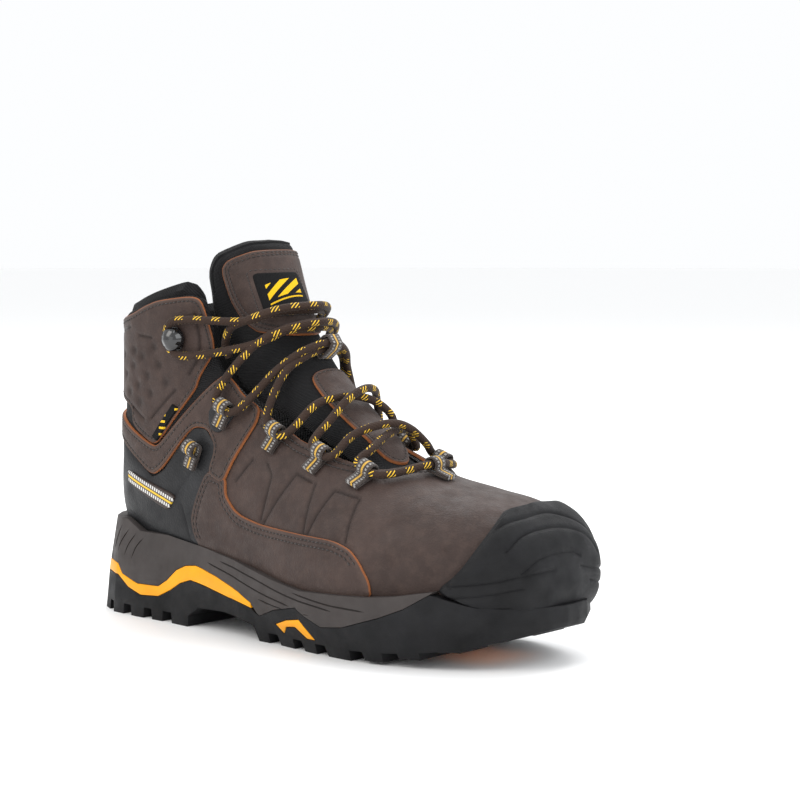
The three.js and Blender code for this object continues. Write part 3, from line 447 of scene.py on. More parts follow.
class Cloth:
    """The last's skin laid flat, in millimetres: the first number runs along the boot, the second
    round it from the front line, or from the back line for pieces that go round the heel."""
    def __init__(self, origin="front"):
        self.origin = origin

    def flat(self, tv):
        t, v = tv[:, 0], tv[:, 1] % 2
        v = np.where((v == 1) & (np.median(v) > 1), 1 + 1e-9, v)
        u = np.interp(t, laid_t, laid_length)
        half = np.where(v <= 1, np.interp(t, laid_t, outer_girth), np.interp(t, laid_t, inner_girth))
        if self.origin == "disc":
            return np.stack((u * np.cos(math.pi * v), u * np.sin(math.pi * v)), 1)
        if self.origin == "back":
            return np.stack((u, (v - 1) * half), 1)
        return np.stack((u, np.where(v <= 1, v, v - 2) * half), 1)

    def lifted(self, uw):
        if self.origin == "disc":
            u = np.linalg.norm(uw, axis=1)
            turn = np.arctan2(uw[:, 1], uw[:, 0]) / math.pi % 2
            return np.stack((np.interp(u, laid_length, laid_t), turn), 1)
        t = np.interp(uw[:, 0], laid_length, laid_t)
        outer, inner = np.interp(t, laid_t, outer_girth), np.interp(t, laid_t, inner_girth)
        if self.origin == "back":
            return np.stack((t, 1 + uw[:, 1] / np.where(uw[:, 1] <= 0, outer, inner)), 1)
        return np.stack((t, uw[:, 1] / np.where(uw[:, 1] >= 0, outer, inner) % 2), 1)


def softened(points, cut=0.22, times=2):
    """A closed outline with its corners rounded."""
    p = np.asarray(points, float)
    for _ in range(times):
        after = np.roll(p, -1, axis=0)
        p = np.stack((p + (after - p) * cut, after - (after - p) * cut), 1).reshape(-1, 2)
    return p


def inside(points, outline):
    """Which of the points lie inside a closed outline."""
    x, y = points[:, 0], points[:, 1]
    result = np.zeros(len(points), bool)
    for (ax, ay), (bx, by) in zip(outline, np.roll(outline, -1, axis=0)):
        if ay != by:
            result ^= ((ay > y) != (by > y)) & (x < (bx - ax) * (y - ay) / (by - ay) + ax)
    return result


def nearest(line):
    """A search tree of the points of a line or several."""
    tree = kdtree.KDTree(len(line))
    for i, p in enumerate(line):
        tree.insert(p if len(p) == 3 else (*p, 0), i)
    tree.balance()
    return tree


def away_from(points, tree):
    return np.array([tree.find(p if len(p) == 3 else (*p, 0))[2] for p in points])


def drawn(lines, side):
    """Lines given in side view, as places (t, v) close together."""
    return [find(even(line, 2.0), side) for line in lines]


def smooth_by_angle(piece, degrees):
    """Shades a piece smooth, apart from corners sharper than this."""
    bpy.context.view_layer.objects.active = piece
    piece.select_set(True)
    bpy.ops.object.shade_smooth_by_angle(angle=math.radians(degrees))
    piece.select_set(False)


def cover(piece, face, edge=None):
    """Gives a panel its material, and its cut edge another one where it shows."""
    piece.data.materials.append(face)
    piece.data.materials.append(edge or face)


def grooved(lines, width=1.5, depth=0.4):
    """Lines as grooves of one size. A row of stitches pulls in the one given."""
    return [(line, width, depth) for line in lines]


def panel(name, outline, base, thick, cloth=Cloth(), spacing=1.7, roll=0.8, grooves=(), height=None,
          padded=False):
    """A flat-cut piece laid on the last: outline holds places (t, v), base is how far its
    underside stands off the last. Grooves are (places, width, depth). Its edge is rolled over."""
    edge = even(cloth.flat(outline), spacing * 0.75, closed=True)
    lo, hi = edge.min(0), edge.max(0)
    a, b = np.meshgrid(np.arange(lo[0], hi[0], spacing), np.arange(lo[1], hi[1], spacing), indexing="ij")
    b[1::2] += spacing / 2
    fill = np.stack((a.ravel(), b.ravel()), 1)
    fill = fill[inside(fill, edge)]
    tangent = np.roll(edge, -1, axis=0) - np.roll(edge, 1, axis=0)
    tangent /= np.linalg.norm(tangent, axis=1)[:, None]
    area = 0.5 * np.sum(edge[:, 0] * np.roll(edge[:, 1], -1) - np.roll(edge[:, 0], -1) * edge[:, 1])
    inward = np.stack((-tangent[:, 1], tangent[:, 0]), 1) * np.sign(area)
    inner = edge + inward * roll
    inner = inner[inside(inner, edge)]
    tree = nearest(edge)
    inner = inner[away_from(inner, tree) > roll * 0.8]
    fill = fill[away_from(fill, tree) > roll + spacing * 0.55]
    groove_points = []
    for line, width, depth in grooves:
        flat = even(cloth.flat(line), 1.1)
        if len(flat) < 3:
            continue
        run_on = np.gradient(flat, axis=0)
        run_on /= np.maximum(1e-9, np.linalg.norm(run_on, axis=1))[:, None]
        off = np.stack((-run_on[:, 1], run_on[:, 0]), 1)
        groove_points += [flat + off * k * width for k in (-0.55, -0.25, 0, 0.25, 0.55)]
    if groove_points:
        groove_points = np.vstack(groove_points)
        groove_points = groove_points[inside(groove_points, edge)]
        groove_points = groove_points[away_from(groove_points, tree) > roll + 0.5]
        fill = fill[away_from(fill, nearest(groove_points)) > spacing * 0.6]
        fill = np.vstack((fill, groove_points))
    flat = np.vstack((edge, inner, fill))
    n = len(edge)
    corners, _, faces, source, _, _ = geometry.delaunay_2d_cdt(
        [Vector(p) for p in flat], [], [list(range(n))], 1, 1e-4)
    flat = np.array([(c.x, c.y) for c in corners])
    tv = cloth.lifted(flat)
    ground, out = skin(tv[:, 0], tv[:, 1]), skin_normal(tv[:, 0], tv[:, 1])
    rim = np.array([any(k < n for k in s) for s in source])
    to_edge = away_from(ground, nearest(ground[rim]))
    turned = np.clip(1 - to_edge / (roll * 1.6), 0, 1)
    base = base(tv[:, 0], tv[:, 1]) if callable(base) else base
    thick = thick(tv[:, 0], tv[:, 1]) if callable(thick) else thick
    sunk = thick * 0.45 * (1 - np.sqrt(np.clip(1 - turned ** 2, 0, 1)))
    top = base + thick - sunk
    base = base + sunk * padded
    pressed = np.zeros(len(flat))
    for line, width, depth in grooves:
        close = even(skin(line[:, 0], line[:, 1]), 0.3) if len(line) > 1 else skin(line[:, 0], line[:, 1])
        gap = away_from(ground, nearest(close))
        pressed = np.maximum(pressed, depth * np.exp(-(gap / (width * 0.45)) ** 2))
    top = top - pressed
    lift = 0 if height is None else height(tv[:, 0], tv[:, 1])
    count = len(flat)
    points = np.vstack((ground + out * np.asarray(top + lift)[:, None],
                        ground + out * np.asarray(base + lift + np.zeros(count))[:, None]))
    faces = [list(f) for f in faces]
    probe = faces[0]
    p0, p1, p2 = (points[i] for i in probe[:3])
    if np.dot(np.cross(p1 - p0, p2 - p0), out[probe[0]]) < 0:
        faces = [f[::-1] for f in faces]
    sides = dict.fromkeys((p, q) for f in faces for p, q in zip(f, f[1:] + f[:1]))
    walls = [(q, p, p + count, q + count) for p, q in sides if (q, p) not in sides]
    bottoms = [[i + count for i in f[::-1]] for f in faces]
    uv = np.vstack((flat, flat)) / 1000
    piece = mesh_piece(name, metres(points), faces + walls + bottoms, uv)
    wear = piece.data.attributes.new("edge", "FLOAT", "POINT")
    wear.data.foreach_set("value", np.tile(np.clip(1 - to_edge / 3.5, 0, 1), 2))
    # The groove depth is kept for the leather, which paints shade in the grooves by it.
    groove_shade = piece.data.attributes.new("pressed", "FLOAT", "POINT")
    groove_shade.data.foreach_set("value", np.tile(pressed, 2))
    slots = np.zeros(len(piece.data.polygons), int)
    slots[len(faces):len(faces) + len(walls)] = 1
    piece.data.polygons.foreach_set("material_index", slots)
    smooth_by_angle(piece, 42)
    return piece


# A stitch's rings: how far along, how wide and how high each is, in lengths and radii.
BEAD = ((-0.5, 0.45, -0.5), (-0.22, 1, 0), (0.22, 1, 0), (0.5, 0.45, -0.5))
BEAD_SIDES = 5


def stitches(name, lines, base, length=2.1, pitch=3.0, radius=0.3, height=None):
    """Rows of thread along lines of places (t, v), each stitch a short bead pressed in at its ends."""
    cloth = Cloth()
    points, faces = [], []
    for line in lines:
        flat = even(cloth.flat(line), pitch)
        tv = cloth.lifted(flat)
        lift = 0 if height is None else height(tv[:, 0], tv[:, 1])
        spots = skin(tv[:, 0], tv[:, 1], base + np.zeros(len(tv)) + lift)
        ups = skin_normal(tv[:, 0], tv[:, 1])
        ways = np.gradient(spots, axis=0)
        for spot, up, way in zip(spots, ups, ways):
            way = way / max(1e-9, np.linalg.norm(way))
            side = np.cross(way, up)
            start = len(points)
            for x, r, z in BEAD:
                for a in range(BEAD_SIDES):
                    turn = 2 * math.pi * a / BEAD_SIDES
                    points.append(spot + way * x * length + side * radius * r * math.cos(turn)
                                  + up * radius * (z + r * math.sin(turn)))
            for ring_start in range(start, len(points) - BEAD_SIDES, BEAD_SIDES):
                for a in range(BEAD_SIDES):
                    p, q = ring_start + a, ring_start + (a + 1) % BEAD_SIDES
                    faces.append((p, p + BEAD_SIDES, q + BEAD_SIDES, q))
            faces.append([start + a for a in range(BEAD_SIDES)])
            faces.append([len(points) - BEAD_SIDES + a for a in reversed(range(BEAD_SIDES))])
    return mesh_piece(name, metres(points), faces)


def moved_in(outline, by, part=None):
    """The lines that lie a distance inside a closed outline of places (t, v), where part is true."""
    cloth = Cloth()
    edge = even(cloth.flat(outline), 1.0, closed=True)
    if np.sum(edge[:, 0] * np.roll(edge[:, 1], -1) - np.roll(edge[:, 0], -1) * edge[:, 1]) < 0:
        edge = edge[::-1]
    tangent = np.roll(edge, -2, axis=0) - np.roll(edge, 2, axis=0)
    tangent /= np.linalg.norm(tangent, axis=1)[:, None]
    line = edge + np.stack((-tangent[:, 1], tangent[:, 0]), 1) * by
    keep = away_from(line, nearest(edge)) > by * 0.93
    keep &= inside(line, edge)
    tv = cloth.lifted(line)
    if part is not None:
        spots = skin(tv[:, 0], tv[:, 1])
        keep &= part(spots)
    if keep.all():
        return [tv]
    lines, current = [], []
    start = int(np.argmin(keep))
    for i in np.roll(np.arange(len(line)), -start):
        if keep[i]:
            current.append(tv[i])
        elif current:
            lines.append(np.array(current))
            current = []
    if current:
        lines.append(np.array(current))
    return [run_on for run_on in lines if len(run_on) > 4]


def leather_look(name, dark, light, worn):
    """Oiled leather: cloudy colour, paler where it is rubbed at edges, darker in its pressed grooves and
    dimples as painted shade, fine grain and creases.
    """
    look = Look(name, dark, 0.6, Sheen_Weight=0.04, Sheen_Roughness=0.5, Specular_IOR_Level=0.25)
    clouds = look.range(look.noise(26, 6, 0.62), 0.36, 0.68)
    color = look.mix(clouds, dark, light)
    color = look.mix(look.range(look.noise(190, 5, 0.7), 0.45, 0.75, 0, 0.3), color, worn)
    rim = look.add("ShaderNodeAttribute", attribute_name="edge").outputs["Fac"]
    rubbed = look.times(rim, look.range(look.noise(60, 4), 0.35, 0.65, 0.15, 0.75))
    color = look.mix(rubbed, color, worn)
    color = look.mix(look.range(rim, 0.84, 0.95, 0, 0.85), color, (0.24, 0.075, 0.022))
    # Painted shade: pressed grooves, dimples and stitch rows are darkened by their depth.
    groove_shade = look.add("ShaderNodeAttribute", attribute_name="pressed").outputs["Fac"]
    color = look.mix(look.range(groove_shade, 0.1, 0.9, 0, 0.6), color, tuple(c * 0.45 for c in dark))
    look.color(color)
    look.patchy(120, 4, 0.5, 0.72)
    pores = look.add("ShaderNodeTexVoronoi", Vector=look.place, Scale=1150.0).outputs["Distance"]
    grain = look.bump(pores, 0.00022, 0.55)
    look.bump(look.noise(420, 6, 0.7), 0.0005, 0.5, under=grain)
    return look.material


brown_leather = leather_look("brown_pull_up_leather", (0.030, 0.0185, 0.0155),
                             (0.050, 0.0315, 0.0265), (0.098, 0.063, 0.050))
cut_edge = Look("cut_edge_tan", (0.42, 0.13, 0.03), 0.6)
cut_edge.color(cut_edge.mix(cut_edge.noise(700, 3), (0.26, 0.075, 0.02), (0.42, 0.15, 0.045)))
thread_brown = Look("thread_dark", (0.014, 0.010, 0.009), 0.7, Sheen_Weight=0.2)
thread_brown.bump(thread_brown.noise(3000, 2), 0.0002, 0.6)

THROAT = ((211, 93), (209, 89.5), (203, 88.5), (183, 93.5), (159, 100.5), (131, 112.5), (117, 119))
FOOT_LINE = ((105, 26), (138, 24), (175, 22), (208, 21), (240, 22), (266, 25), (278, 29))


halves = []
for side in (-1, 1):
    top = find(even(THROAT, 3), side)
    top[0, 1] = 0.0 if side < 0 else 2.0
    seam = find(((113, 113), (110, 100), (106, 75), (104.5, 50)), side)
    foot = find(even(FOOT_LINE, 6), side)
    halves.append(np.vstack((top, seam, foot)))
vamp_outline = np.vstack((halves[0], halves[1][::-1]))
GROOVE_LINES = (((142, 88), (147, 83), (146, 72), (144, 61)), ((131, 89), (121, 78)),
                ((164, 85), (155, 72), (147, 60)), ((164, 85), (175, 82)), ((178, 81), (179, 58)),
                ((191, 79), (186, 68), (182, 58)), ((191, 79), (204, 77)), ((206, 76), (208, 57)))
vamp_grooves = []
for side in (-1, 1):
    vamp_grooves += grooved(drawn(GROOVE_LINES, side), 2.2, 1.0)
throat_rows = []
for by in (3.0, 6.2):
    throat_rows += moved_in(vamp_outline, by, part=lambda p: (p[:, 2] > 78) & (p[:, 0] > 118))
vamp_grooves += grooved(throat_rows)
vamp = panel("leather_vamp", vamp_outline, -2.0, 2.0, spacing=1.9, grooves=vamp_grooves)
cover(vamp, brown_leather, cut_edge.material)
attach(vamp, "root")
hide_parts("vamp")

vamp_thread = stitches("vamp_stitching", throat_rows, -0.1)
vamp_thread.data.materials.append(thread_brown.material)
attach(vamp_thread, "root")

# --- Cloth ankle ------------------------------------------------------------------------------
# Black woven nylon behind the vamp. It shows in the gaps between the leather panels and under
# the collar, and carries them all.
nylon = Look("black_woven_nylon", (0.012, 0.012, 0.013), 0.85, Sheen_Weight=0.04, Sheen_Roughness=0.4,
             Specular_IOR_Level=0.2)
_, warp, weft = nylon.across()
warp_wave = nylon.sine(nylon.times(warp, 5200.0))
weft_wave = nylon.sine(nylon.times(weft, 5200.0))
weave = nylon.times(warp_wave, weft_wave)
nylon.color(nylon.mix(nylon.range(weave, -0.6, 0.9), (0.003, 0.003, 0.003), (0.020, 0.020, 0.022)))
nylon.bump(weave, 0.0004, 0.7)

def heel_outline_of(top, front, foot, step):
    """A closed outline round the heel, drawn by the same three lines on both sides."""
    drawn_halves = []
    for side in (-1, 1):
        head, mouth, base = (find(even(line, gap), side)
                             for line, gap in ((top, step), (front, step), (foot, 6)))
        head[0, 1] = base[-1, 1] = 1.0
        drawn_halves.append(np.vstack((head, mouth, base)))
    return np.vstack((drawn_halves[0], drawn_halves[1][::-1][1:-1]))


round_heel = Cloth("back")
ANKLE_TOP = ((16, 154), (30, 158), (50, 163), (67, 168), (86, 170.5), (92, 168))
ANKLE_FRONT = ((93, 167), (96, 152), (98, 140), (104, 130), (115, 120), (112, 112), (110, 100),
               (106, 75), (104.5, 40))
ANKLE_FOOT = ((104, 27), (60, 30), (38, 34), (22, 43))
ankle_outline = heel_outline_of(ANKLE_TOP, ANKLE_FRONT, ANKLE_FOOT, 4)
ankle = panel("cloth_ankle", ankle_outline, -2.0, 2.0, cloth=round_heel, spacing=2.6)
cover(ankle, nylon.material)
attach(ankle, "root")
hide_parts("ankle_textile")

# --- Heel panel -------------------------------------------------------------------------------
# Charcoal coated synthetic round the heel and under the strap. Three lines are pressed into each
# side of it, and the fifth lace loop sits over its front corner.
synthetic = Look("charcoal_synthetic", (0.028, 0.029, 0.031), 0.55, Specular_IOR_Level=0.25)
pebbles = synthetic.add("ShaderNodeTexVoronoi", Vector=synthetic.place, Scale=900.0).outputs["Distance"]
synthetic.cloudy(synthetic.noise(35, 5), 0.35, 0.7, (0.009, 0.009, 0.010), (0.020, 0.0205, 0.0225))
synthetic.patchy(80, 3, 0.42, 0.65)
synthetic.bump(pebbles, 0.00025, 0.6)

HEEL_TOP = ((11, 97), (25, 92), (40, 85), (57, 74.5), (66, 79.5), (87, 102.5), (95.5, 102.5), (103, 94))
HEEL_FRONT = ((104, 92), (101, 80), (94, 67), (90, 56), (91, 48), (98, 38))
HEEL_FOOT = ((98, 37), (70, 39), (45, 40), (30, 42), (17, 45))
PRESSED_LINES = (((90, 84), (82, 74), (75, 67)), ((33, 53), (37, 47), (41, 43)),
                 ((80, 62), (84, 52), (86, 44)))
heel_outline = heel_outline_of(HEEL_TOP, HEEL_FRONT, HEEL_FOOT, 3)
heel_grooves = []
for side in (-1, 1):
    heel_grooves += grooved(drawn(PRESSED_LINES, side), 1.8, 0.6)
heel = panel("heel_panel_synthetic", heel_outline, 0.05, 1.5, cloth=round_heel, grooves=heel_grooves,
             spacing=2.0)
cover(heel, synthetic.material)
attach(heel, "root")
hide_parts("heel_panel")

# --- Straps, foxing and collar panels ---------------------------------------------------------
# Three leather panels on each side, cut with tan edges. The foxing wraps the foot above the
# midsole, the strap runs down and back from the lace frame, and the collar panel is pressed with
# round dimples. Thread of the leather's colour runs inside the edges.
STRAP = ((104, 131.5), (110, 127), (117, 120), (129, 114.5), (129.5, 107), (124, 97), (118, 87),
         (112.5, 75.5), (100, 79.5), (104, 93), (97, 102.5), (87, 103), (66, 80.5), (57, 75.5),
         (40, 86), (25, 93), (13, 98), (13, 110), (25, 105.5), (39, 99.5), (59, 91), (64, 93))
FOXING = ((114, 79), (99, 82), (91, 67), (87.2, 56), (89, 48), (95, 39), (110, 36), (140, 33),
          (180, 30), (225, 31), (224, 40), (218, 49), (212, 54), (201, 57), (181, 57.5),
          (146, 58.5), (130, 61), (123, 63.5), (115, 70))
COLLAR = ((18, 154), (30, 156.5), (47, 160), (58, 164.5), (67, 167.5), (86, 170), (91, 168),
          (95, 154), (97, 147), (97.5, 141), (89.5, 128), (88, 122), (63, 94), (58, 92), (41, 101),
          (41, 110), (30, 114), (14, 120))
DIMPLES = ((47, 141), (53, 138), (62, 143), (45, 133), (65, 134), (56, 128), (48, 123), (69, 125),
           (40, 119), (58, 119), (49, 114), (36, 128), (34, 138))
COLLAR_LINES = (((52, 149), (61, 148)), ((75, 121), (66, 113), (58, 106)),
                ((42, 111), (47, 108), (52, 105)), ((88, 160), (90, 148), (90, 140), (84, 130)),
                ((30, 150), (44, 153)))
strap_tan = leather_look("strap_leather", (0.032, 0.0200, 0.0165), (0.053, 0.0335, 0.028),
                         (0.105, 0.068, 0.053))


def side_outline(points, side):
    """A panel's outline in side view as places; its back edge, if any, lies on the heel's middle."""
    tv = find(even(softened(points, 0.18), 1.2, closed=True), side)
    tv[:, 1] = np.where(np.abs(tv[:, 1] - 1) < 0.03, 1.0, tv[:, 1])
    return tv


for side, end in ((-1, "lateral"), (1, "medial")):
    strap_line = side_outline(STRAP, side)
    foxing_line = side_outline(FOXING, side)
    collar_line = side_outline(COLLAR, side)
    foxing_rows = []
    for by in (2.2, 4.6):
        foxing_rows += moved_in(foxing_line, by, part=lambda p: p[:, 2] > 47)
    strap_rows = moved_in(strap_line, 2.2, part=lambda p: p[:, 0] > 20)
    collar_rows = moved_in(collar_line, 2.2, part=lambda p: p[:, 0] > 22)
    foxing = panel(f"foxing_{end}_leather", foxing_line, 0.1, 1.8, grooves=grooved(foxing_rows))
    strap = panel(f"strap_{end}_leather", strap_line, 0.35, 2.0, grooves=grooved(strap_rows))
    pressed_in = grooved([find([spot], side) for spot in DIMPLES], 5.2, 1.15)
    pressed_in += grooved(drawn(COLLAR_LINES, side), 2.0, 1.0)
    pressed_in += grooved(collar_rows)
    collar = panel(f"collar_{end}_leather", collar_line, 0.1, 1.8, grooves=pressed_in, spacing=1.5)
    for piece, node in ((foxing, "foxing"), (strap, "strap"), (collar, "collar_panel")):
        cover(piece, strap_tan if node == "strap" else brown_leather, cut_edge.material)
        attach(piece, "root")
        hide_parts(f"{node}_{end}")
    foxing_thread = stitches(f"foxing_stitching_{end}", foxing_rows, 1.75, length=2.0, pitch=2.9)
    strap_thread = stitches(f"strap_stitching_{end}", strap_rows, 2.2, length=2.0, pitch=2.9)
    collar_thread = stitches(f"collar_stitching_{end}", collar_rows, 1.75, length=2.0, pitch=2.9)
    for piece in (foxing_thread, strap_thread, collar_thread):
        piece.data.materials.append(thread_brown.material)
        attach(piece, "root")

# --- Side label, reflective strips and loop frames --------------------------------------------
# Small trim sewn over the panels: a black woven tab with yellow bars on the outer side, a brown
# strip with a yellow line between silver dashes on the heel, and charcoal frames under the
# fourth loops.
tab = Look("woven_tab", (0.012, 0.012, 0.012), 0.7, Specular_IOR_Level=0.15)
_, tab_u, tab_w = tab.across()
tab_threads = tab.sine(tab.times(tab.plus(tab_u, tab_w), 9000.0))
bars = tab.below(tab.fract(tab.times(tab.minus(tab_u, tab.times(tab_w, 0.9)), 240.0)), 0.35)
middle = tab.below(tab.size(tab.minus(tab.fract(tab.times(tab.plus(tab_u, tab_w), 62.0)), 0.5)), 0.2)
tab.color(tab.mix(tab.times(bars, middle), (0.004, 0.004, 0.0045), (0.80, 0.50, 0.02)))
tab.bump(tab_threads, 0.0002, 0.5)

ALONG_STRIP, DOWN_STRIP = 0.953, 0.300
STRIP_MIDDLE = (-0.0938, 0.0680)
strip_look = Look("reflective_strip", (0.03, 0.02, 0.016), 0.5)
strip_place = strip_look.add("ShaderNodeSeparateXYZ", Vector=strip_look.place)
strip_x, strip_z = strip_place.outputs["X"], strip_place.outputs["Z"]
strip_run = strip_look.minus(strip_look.times(strip_x, ALONG_STRIP), strip_look.times(strip_z, DOWN_STRIP))
strip_rise = strip_look.plus(strip_look.times(strip_x, DOWN_STRIP), strip_look.times(strip_z, ALONG_STRIP))
line_rise = DOWN_STRIP * STRIP_MIDDLE[0] + ALONG_STRIP * STRIP_MIDDLE[1]
from_line = strip_look.size(strip_look.minus(strip_rise, line_rise))
dash = strip_look.below(strip_look.fract(strip_look.times(strip_run, 560.0)), 0.6)
row = strip_look.below(strip_look.size(strip_look.minus(from_line, 0.0021)), 0.0009)
silver = strip_look.mix(strip_look.times(dash, row), (0.030, 0.018, 0.014), (0.66, 0.65, 0.63))
strip_look.color(strip_look.mix(strip_look.below(from_line, 0.0006), silver, (0.72, 0.46, 0.02)))
strip_look.bump(strip_look.sine(strip_look.times(strip_run, 6000.0)), 0.0002, 0.5)

SIDE_LABEL = ((74, 114), (78, 112), (62.5, 94), (59, 96.5))
STRIP = ((36, 77), (76, 66.5), (69, 58), (36, 70))
FRAME = ((98, 115), (117, 113), (112, 105), (106, 100), (99, 103))
FRAME_WINDOW = ((101.5, 111), (111.5, 110), (107.5, 105), (102.5, 106.5))
label = panel("side_tab", find(even(SIDE_LABEL, 1, closed=True), -1), 2.0, 1.1, spacing=1.2, roll=0.4)
cover(label, tab.material)
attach(label, "root")
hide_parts("side_label")
for side, end in ((-1, "lateral"), (1, "medial")):
    strip_line = find(even(softened(STRIP, 0.1, 1), 1, closed=True), side)
    strip = panel(f"reflective_strip_{end}_tape", strip_line, 1.4, 1.2, spacing=1.0, roll=0.4)
    cover(strip, strip_look.material)
    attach(strip, "root")
    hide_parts(f"reflective_strip_{end}")
    frame_line = find(even(softened(FRAME), 1, closed=True), side)
    window = grooved(drawn((FRAME_WINDOW + FRAME_WINDOW[:1],), side), 1.6, 0.5)
    holder = panel(f"loop_frame_{end}_synthetic", frame_line, 2.2, 1.3, spacing=1.2, grooves=window)
    cover(holder, synthetic.material)
    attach(holder, "root")
    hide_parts(f"loop_frame_{end}")

# --- Lining, padded collar and footbed ----------------------------------------------------------
# A knitted mesh sock lines the foot. Above it a foam collar in black nylon is turned over the top
# line and stands a little proud of the leather. A knit-faced foam footbed lies loose inside.
def smoothstep(x, low, high):
    s = np.clip((x - low) / (high - low), 0, 1)
    return s * s * (3 - 2 * s)


def under_leather(t):
    """How far the lining lies inside the last: deeper under the steel cap and the heel counter."""
    return 2.35 + 2.35 * (1 - smoothstep(t, 0.225, 0.27)) + 2.35 * smoothstep(t, 0.54, 0.59)


knit = Look("knitted_lining", (0.016, 0.016, 0.018), 0.9, Sheen_Weight=0.3)
_, knit_u, knit_w = knit.across()
loops = knit.times(knit.sine(knit.times(knit_u, 3600.0)),
                  knit.sine(knit.times(knit_w, 2400.0)))
knit.color(knit.mix(knit.range(loops, -0.5, 0.8), (0.008, 0.008, 0.009), (0.045, 0.045, 0.050)))
knit.bump(loops, 0.0005, 0.8)

halves = []
for side in (-1, 1):
    throat = find(even(THROAT + ((106, 127),), 3), side)
    throat[0, 1] = 0.0 if side < 0 else 2.0
    below_pad = find(even(((96, 131.6), (84, 119.6), (62, 111.6), (30, 109.6), (16, 111)), 3), side)
    below_pad[-1, 1] = 1.0
    seam_t = np.linspace(below_pad[-1, 0], 0.03, 60)
    seam = np.stack((seam_t, np.full(60, 1.0 if side < 0 else 1 + 1e-9)), 1)
    toe = np.stack((np.full(12, 0.03), np.linspace(1, 0, 12) if side < 0 else np.linspace(1, 2, 12)), 1)
    sides = np.vstack((throat, below_pad))
    halves.append(np.vstack((sides[sides[:, 0] < 0.8], seam[1:], toe[1:-1])))
LINING = 1.3
lining = panel("sock_lining", np.vstack((halves[0], halves[1][::-1])),
               lambda t, v: -under_leather(t) - LINING - 1.1 * smoothstep(t, 0.5, 0.56), LINING,
               spacing=3.0, roll=0.4)
cover(lining, knit.material)
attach(lining, "root")
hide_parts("lining")

TOP_LINE = ((17, 158), (30, 160), (50, 165), (67, 170), (86, 172.5), (91, 171.5))
PAD_FOOT = ((16, 112), (30, 110), (62, 112), (84, 120), (96, 132))
PAD_TOP = ((97, 140), (94.5, 152), (91, 170), (88, 175.5), (82, 177), (61, 171), (45, 166),
           (28, 162.5), (17, 161))
halves = []
for side in (-1, 1):
    around_pad = find(even(PAD_FOOT + PAD_TOP, 2.5), side)
    around_pad[0, 1] = around_pad[-1, 1] = 1.0
    halves.append(around_pad)


def pad_depth(t):
    return 6.5 * (0.55 + 0.45 * smoothstep(t, 0.7, 0.78))


def pad_thickness(t, v):
    """The foam is full above the leather's top line, where it is turned outwards."""
    p = skin(t, v)
    top_line = np.interp(p[:, 0], [x for x, _ in TOP_LINE], [z for _, z in TOP_LINE])
    return pad_depth(t) + 2.3 * smoothstep(p[:, 2] - top_line, -0.5, 2.5)


pad_outline = np.vstack((halves[0], halves[1][::-1][1:-1]))
collar_pad = panel("padded_collar", pad_outline, lambda t, v: -2.35 - pad_depth(t), pad_thickness,
                   cloth=round_heel, spacing=1.8, roll=3.2, padded=True)
cover(collar_pad, nylon.material)
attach(collar_pad, "root")
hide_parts("collar_padding")


def copy_of(node, name):
    """A new piece with a solid's own shape, its loose corners joined."""
    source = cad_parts[node]
    piece = bpy.data.objects.new(name, source.data.copy())
    bpy.context.scene.collection.objects.link(piece)
    piece.data.transform(source.matrix_world)
    piece.data.materials.clear()
    shape = bmesh.new()
    shape.from_mesh(piece.data)
    bmesh.ops.remove_doubles(shape, verts=shape.verts, dist=1e-6)
    bmesh.ops.dissolve_limit(shape, angle_limit=math.radians(0.6), verts=shape.verts, edges=shape.edges)
    bmesh.ops.recalc_face_normals(shape, faces=shape.faces)
    shape.to_mesh(piece.data)
    shape.free()
    return piece


def apply_all(piece):
    """Applies a piece's modifiers, in their order."""
    bpy.context.view_layer.objects.active = piece
    piece.select_set(True)
    for modifier in list(piece.modifiers):
        bpy.ops.object.modifier_apply(modifier=modifier.name)
    piece.select_set(False)


def reskin(piece, cell, passes):
    """Gives a piece one even skin of small cells, and eases it in passes."""
    remesh = piece.modifiers.new("one skin", "REMESH")
    remesh.mode = "VOXEL"
    remesh.voxel_size = cell
    ease = piece.modifiers.new("eased", "SMOOTH")
    ease.iterations = passes
    apply_all(piece)
    piece.data.polygons.foreach_set("use_smooth", [True] * len(piece.data.polygons))


footbed = copy_of("footbed", "foam_footbed")
reskin(footbed, 0.0015, 8)
bed = Look("footbed_knit", (0.035, 0.035, 0.04), 0.9, Sheen_Weight=0.3)
bed_loops = bed.add("ShaderNodeTexVoronoi", Vector=bed.place, Scale=700.0).outputs["Distance"]
bed.color(bed.mix(bed_loops, (0.02, 0.02, 0.022), (0.075, 0.075, 0.085)))
bed.bump(bed_loops, 0.0004, 0.7)
footbed.data.materials.append(bed.material)
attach(footbed, "footbed")
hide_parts("footbed")

# --- Tongue --------------------------------------------------------------------------------------
# A foam tongue in black nylon with a bound edge. A leather patch with a woven label is sewn on its
# top, and a long leather strip runs down its middle under the laces.
def tongue_lift(t, v):
    """The tongue is proud in the throat, and its wings dip under the leather and the collar."""
    v = (v + 1) % 2 - 1
    opening = 0.26 * np.sqrt(np.clip((t - 0.3) / 0.16, 0, 1))
    drop = 1.2 + under_leather(t) + 1.3 + 5.2 * smoothstep(t, 0.64, 0.72)
    tucked = smoothstep(np.abs(v), 0.35 * opening, np.maximum(0.02, opening - 0.045) + 1e-6)
    return -drop * np.maximum(tucked, 1 - smoothstep(t, 0.325, 0.385))


def tongue_pad(t):
    return 4 + 4 * smoothstep(t, 0.4, 0.8)


def front_outline(points, soft=0.22):
    """An outline drawn in front view (y, z), as places."""
    return find(even(softened(points, soft), 1.2, closed=True), axes=(1, 2))


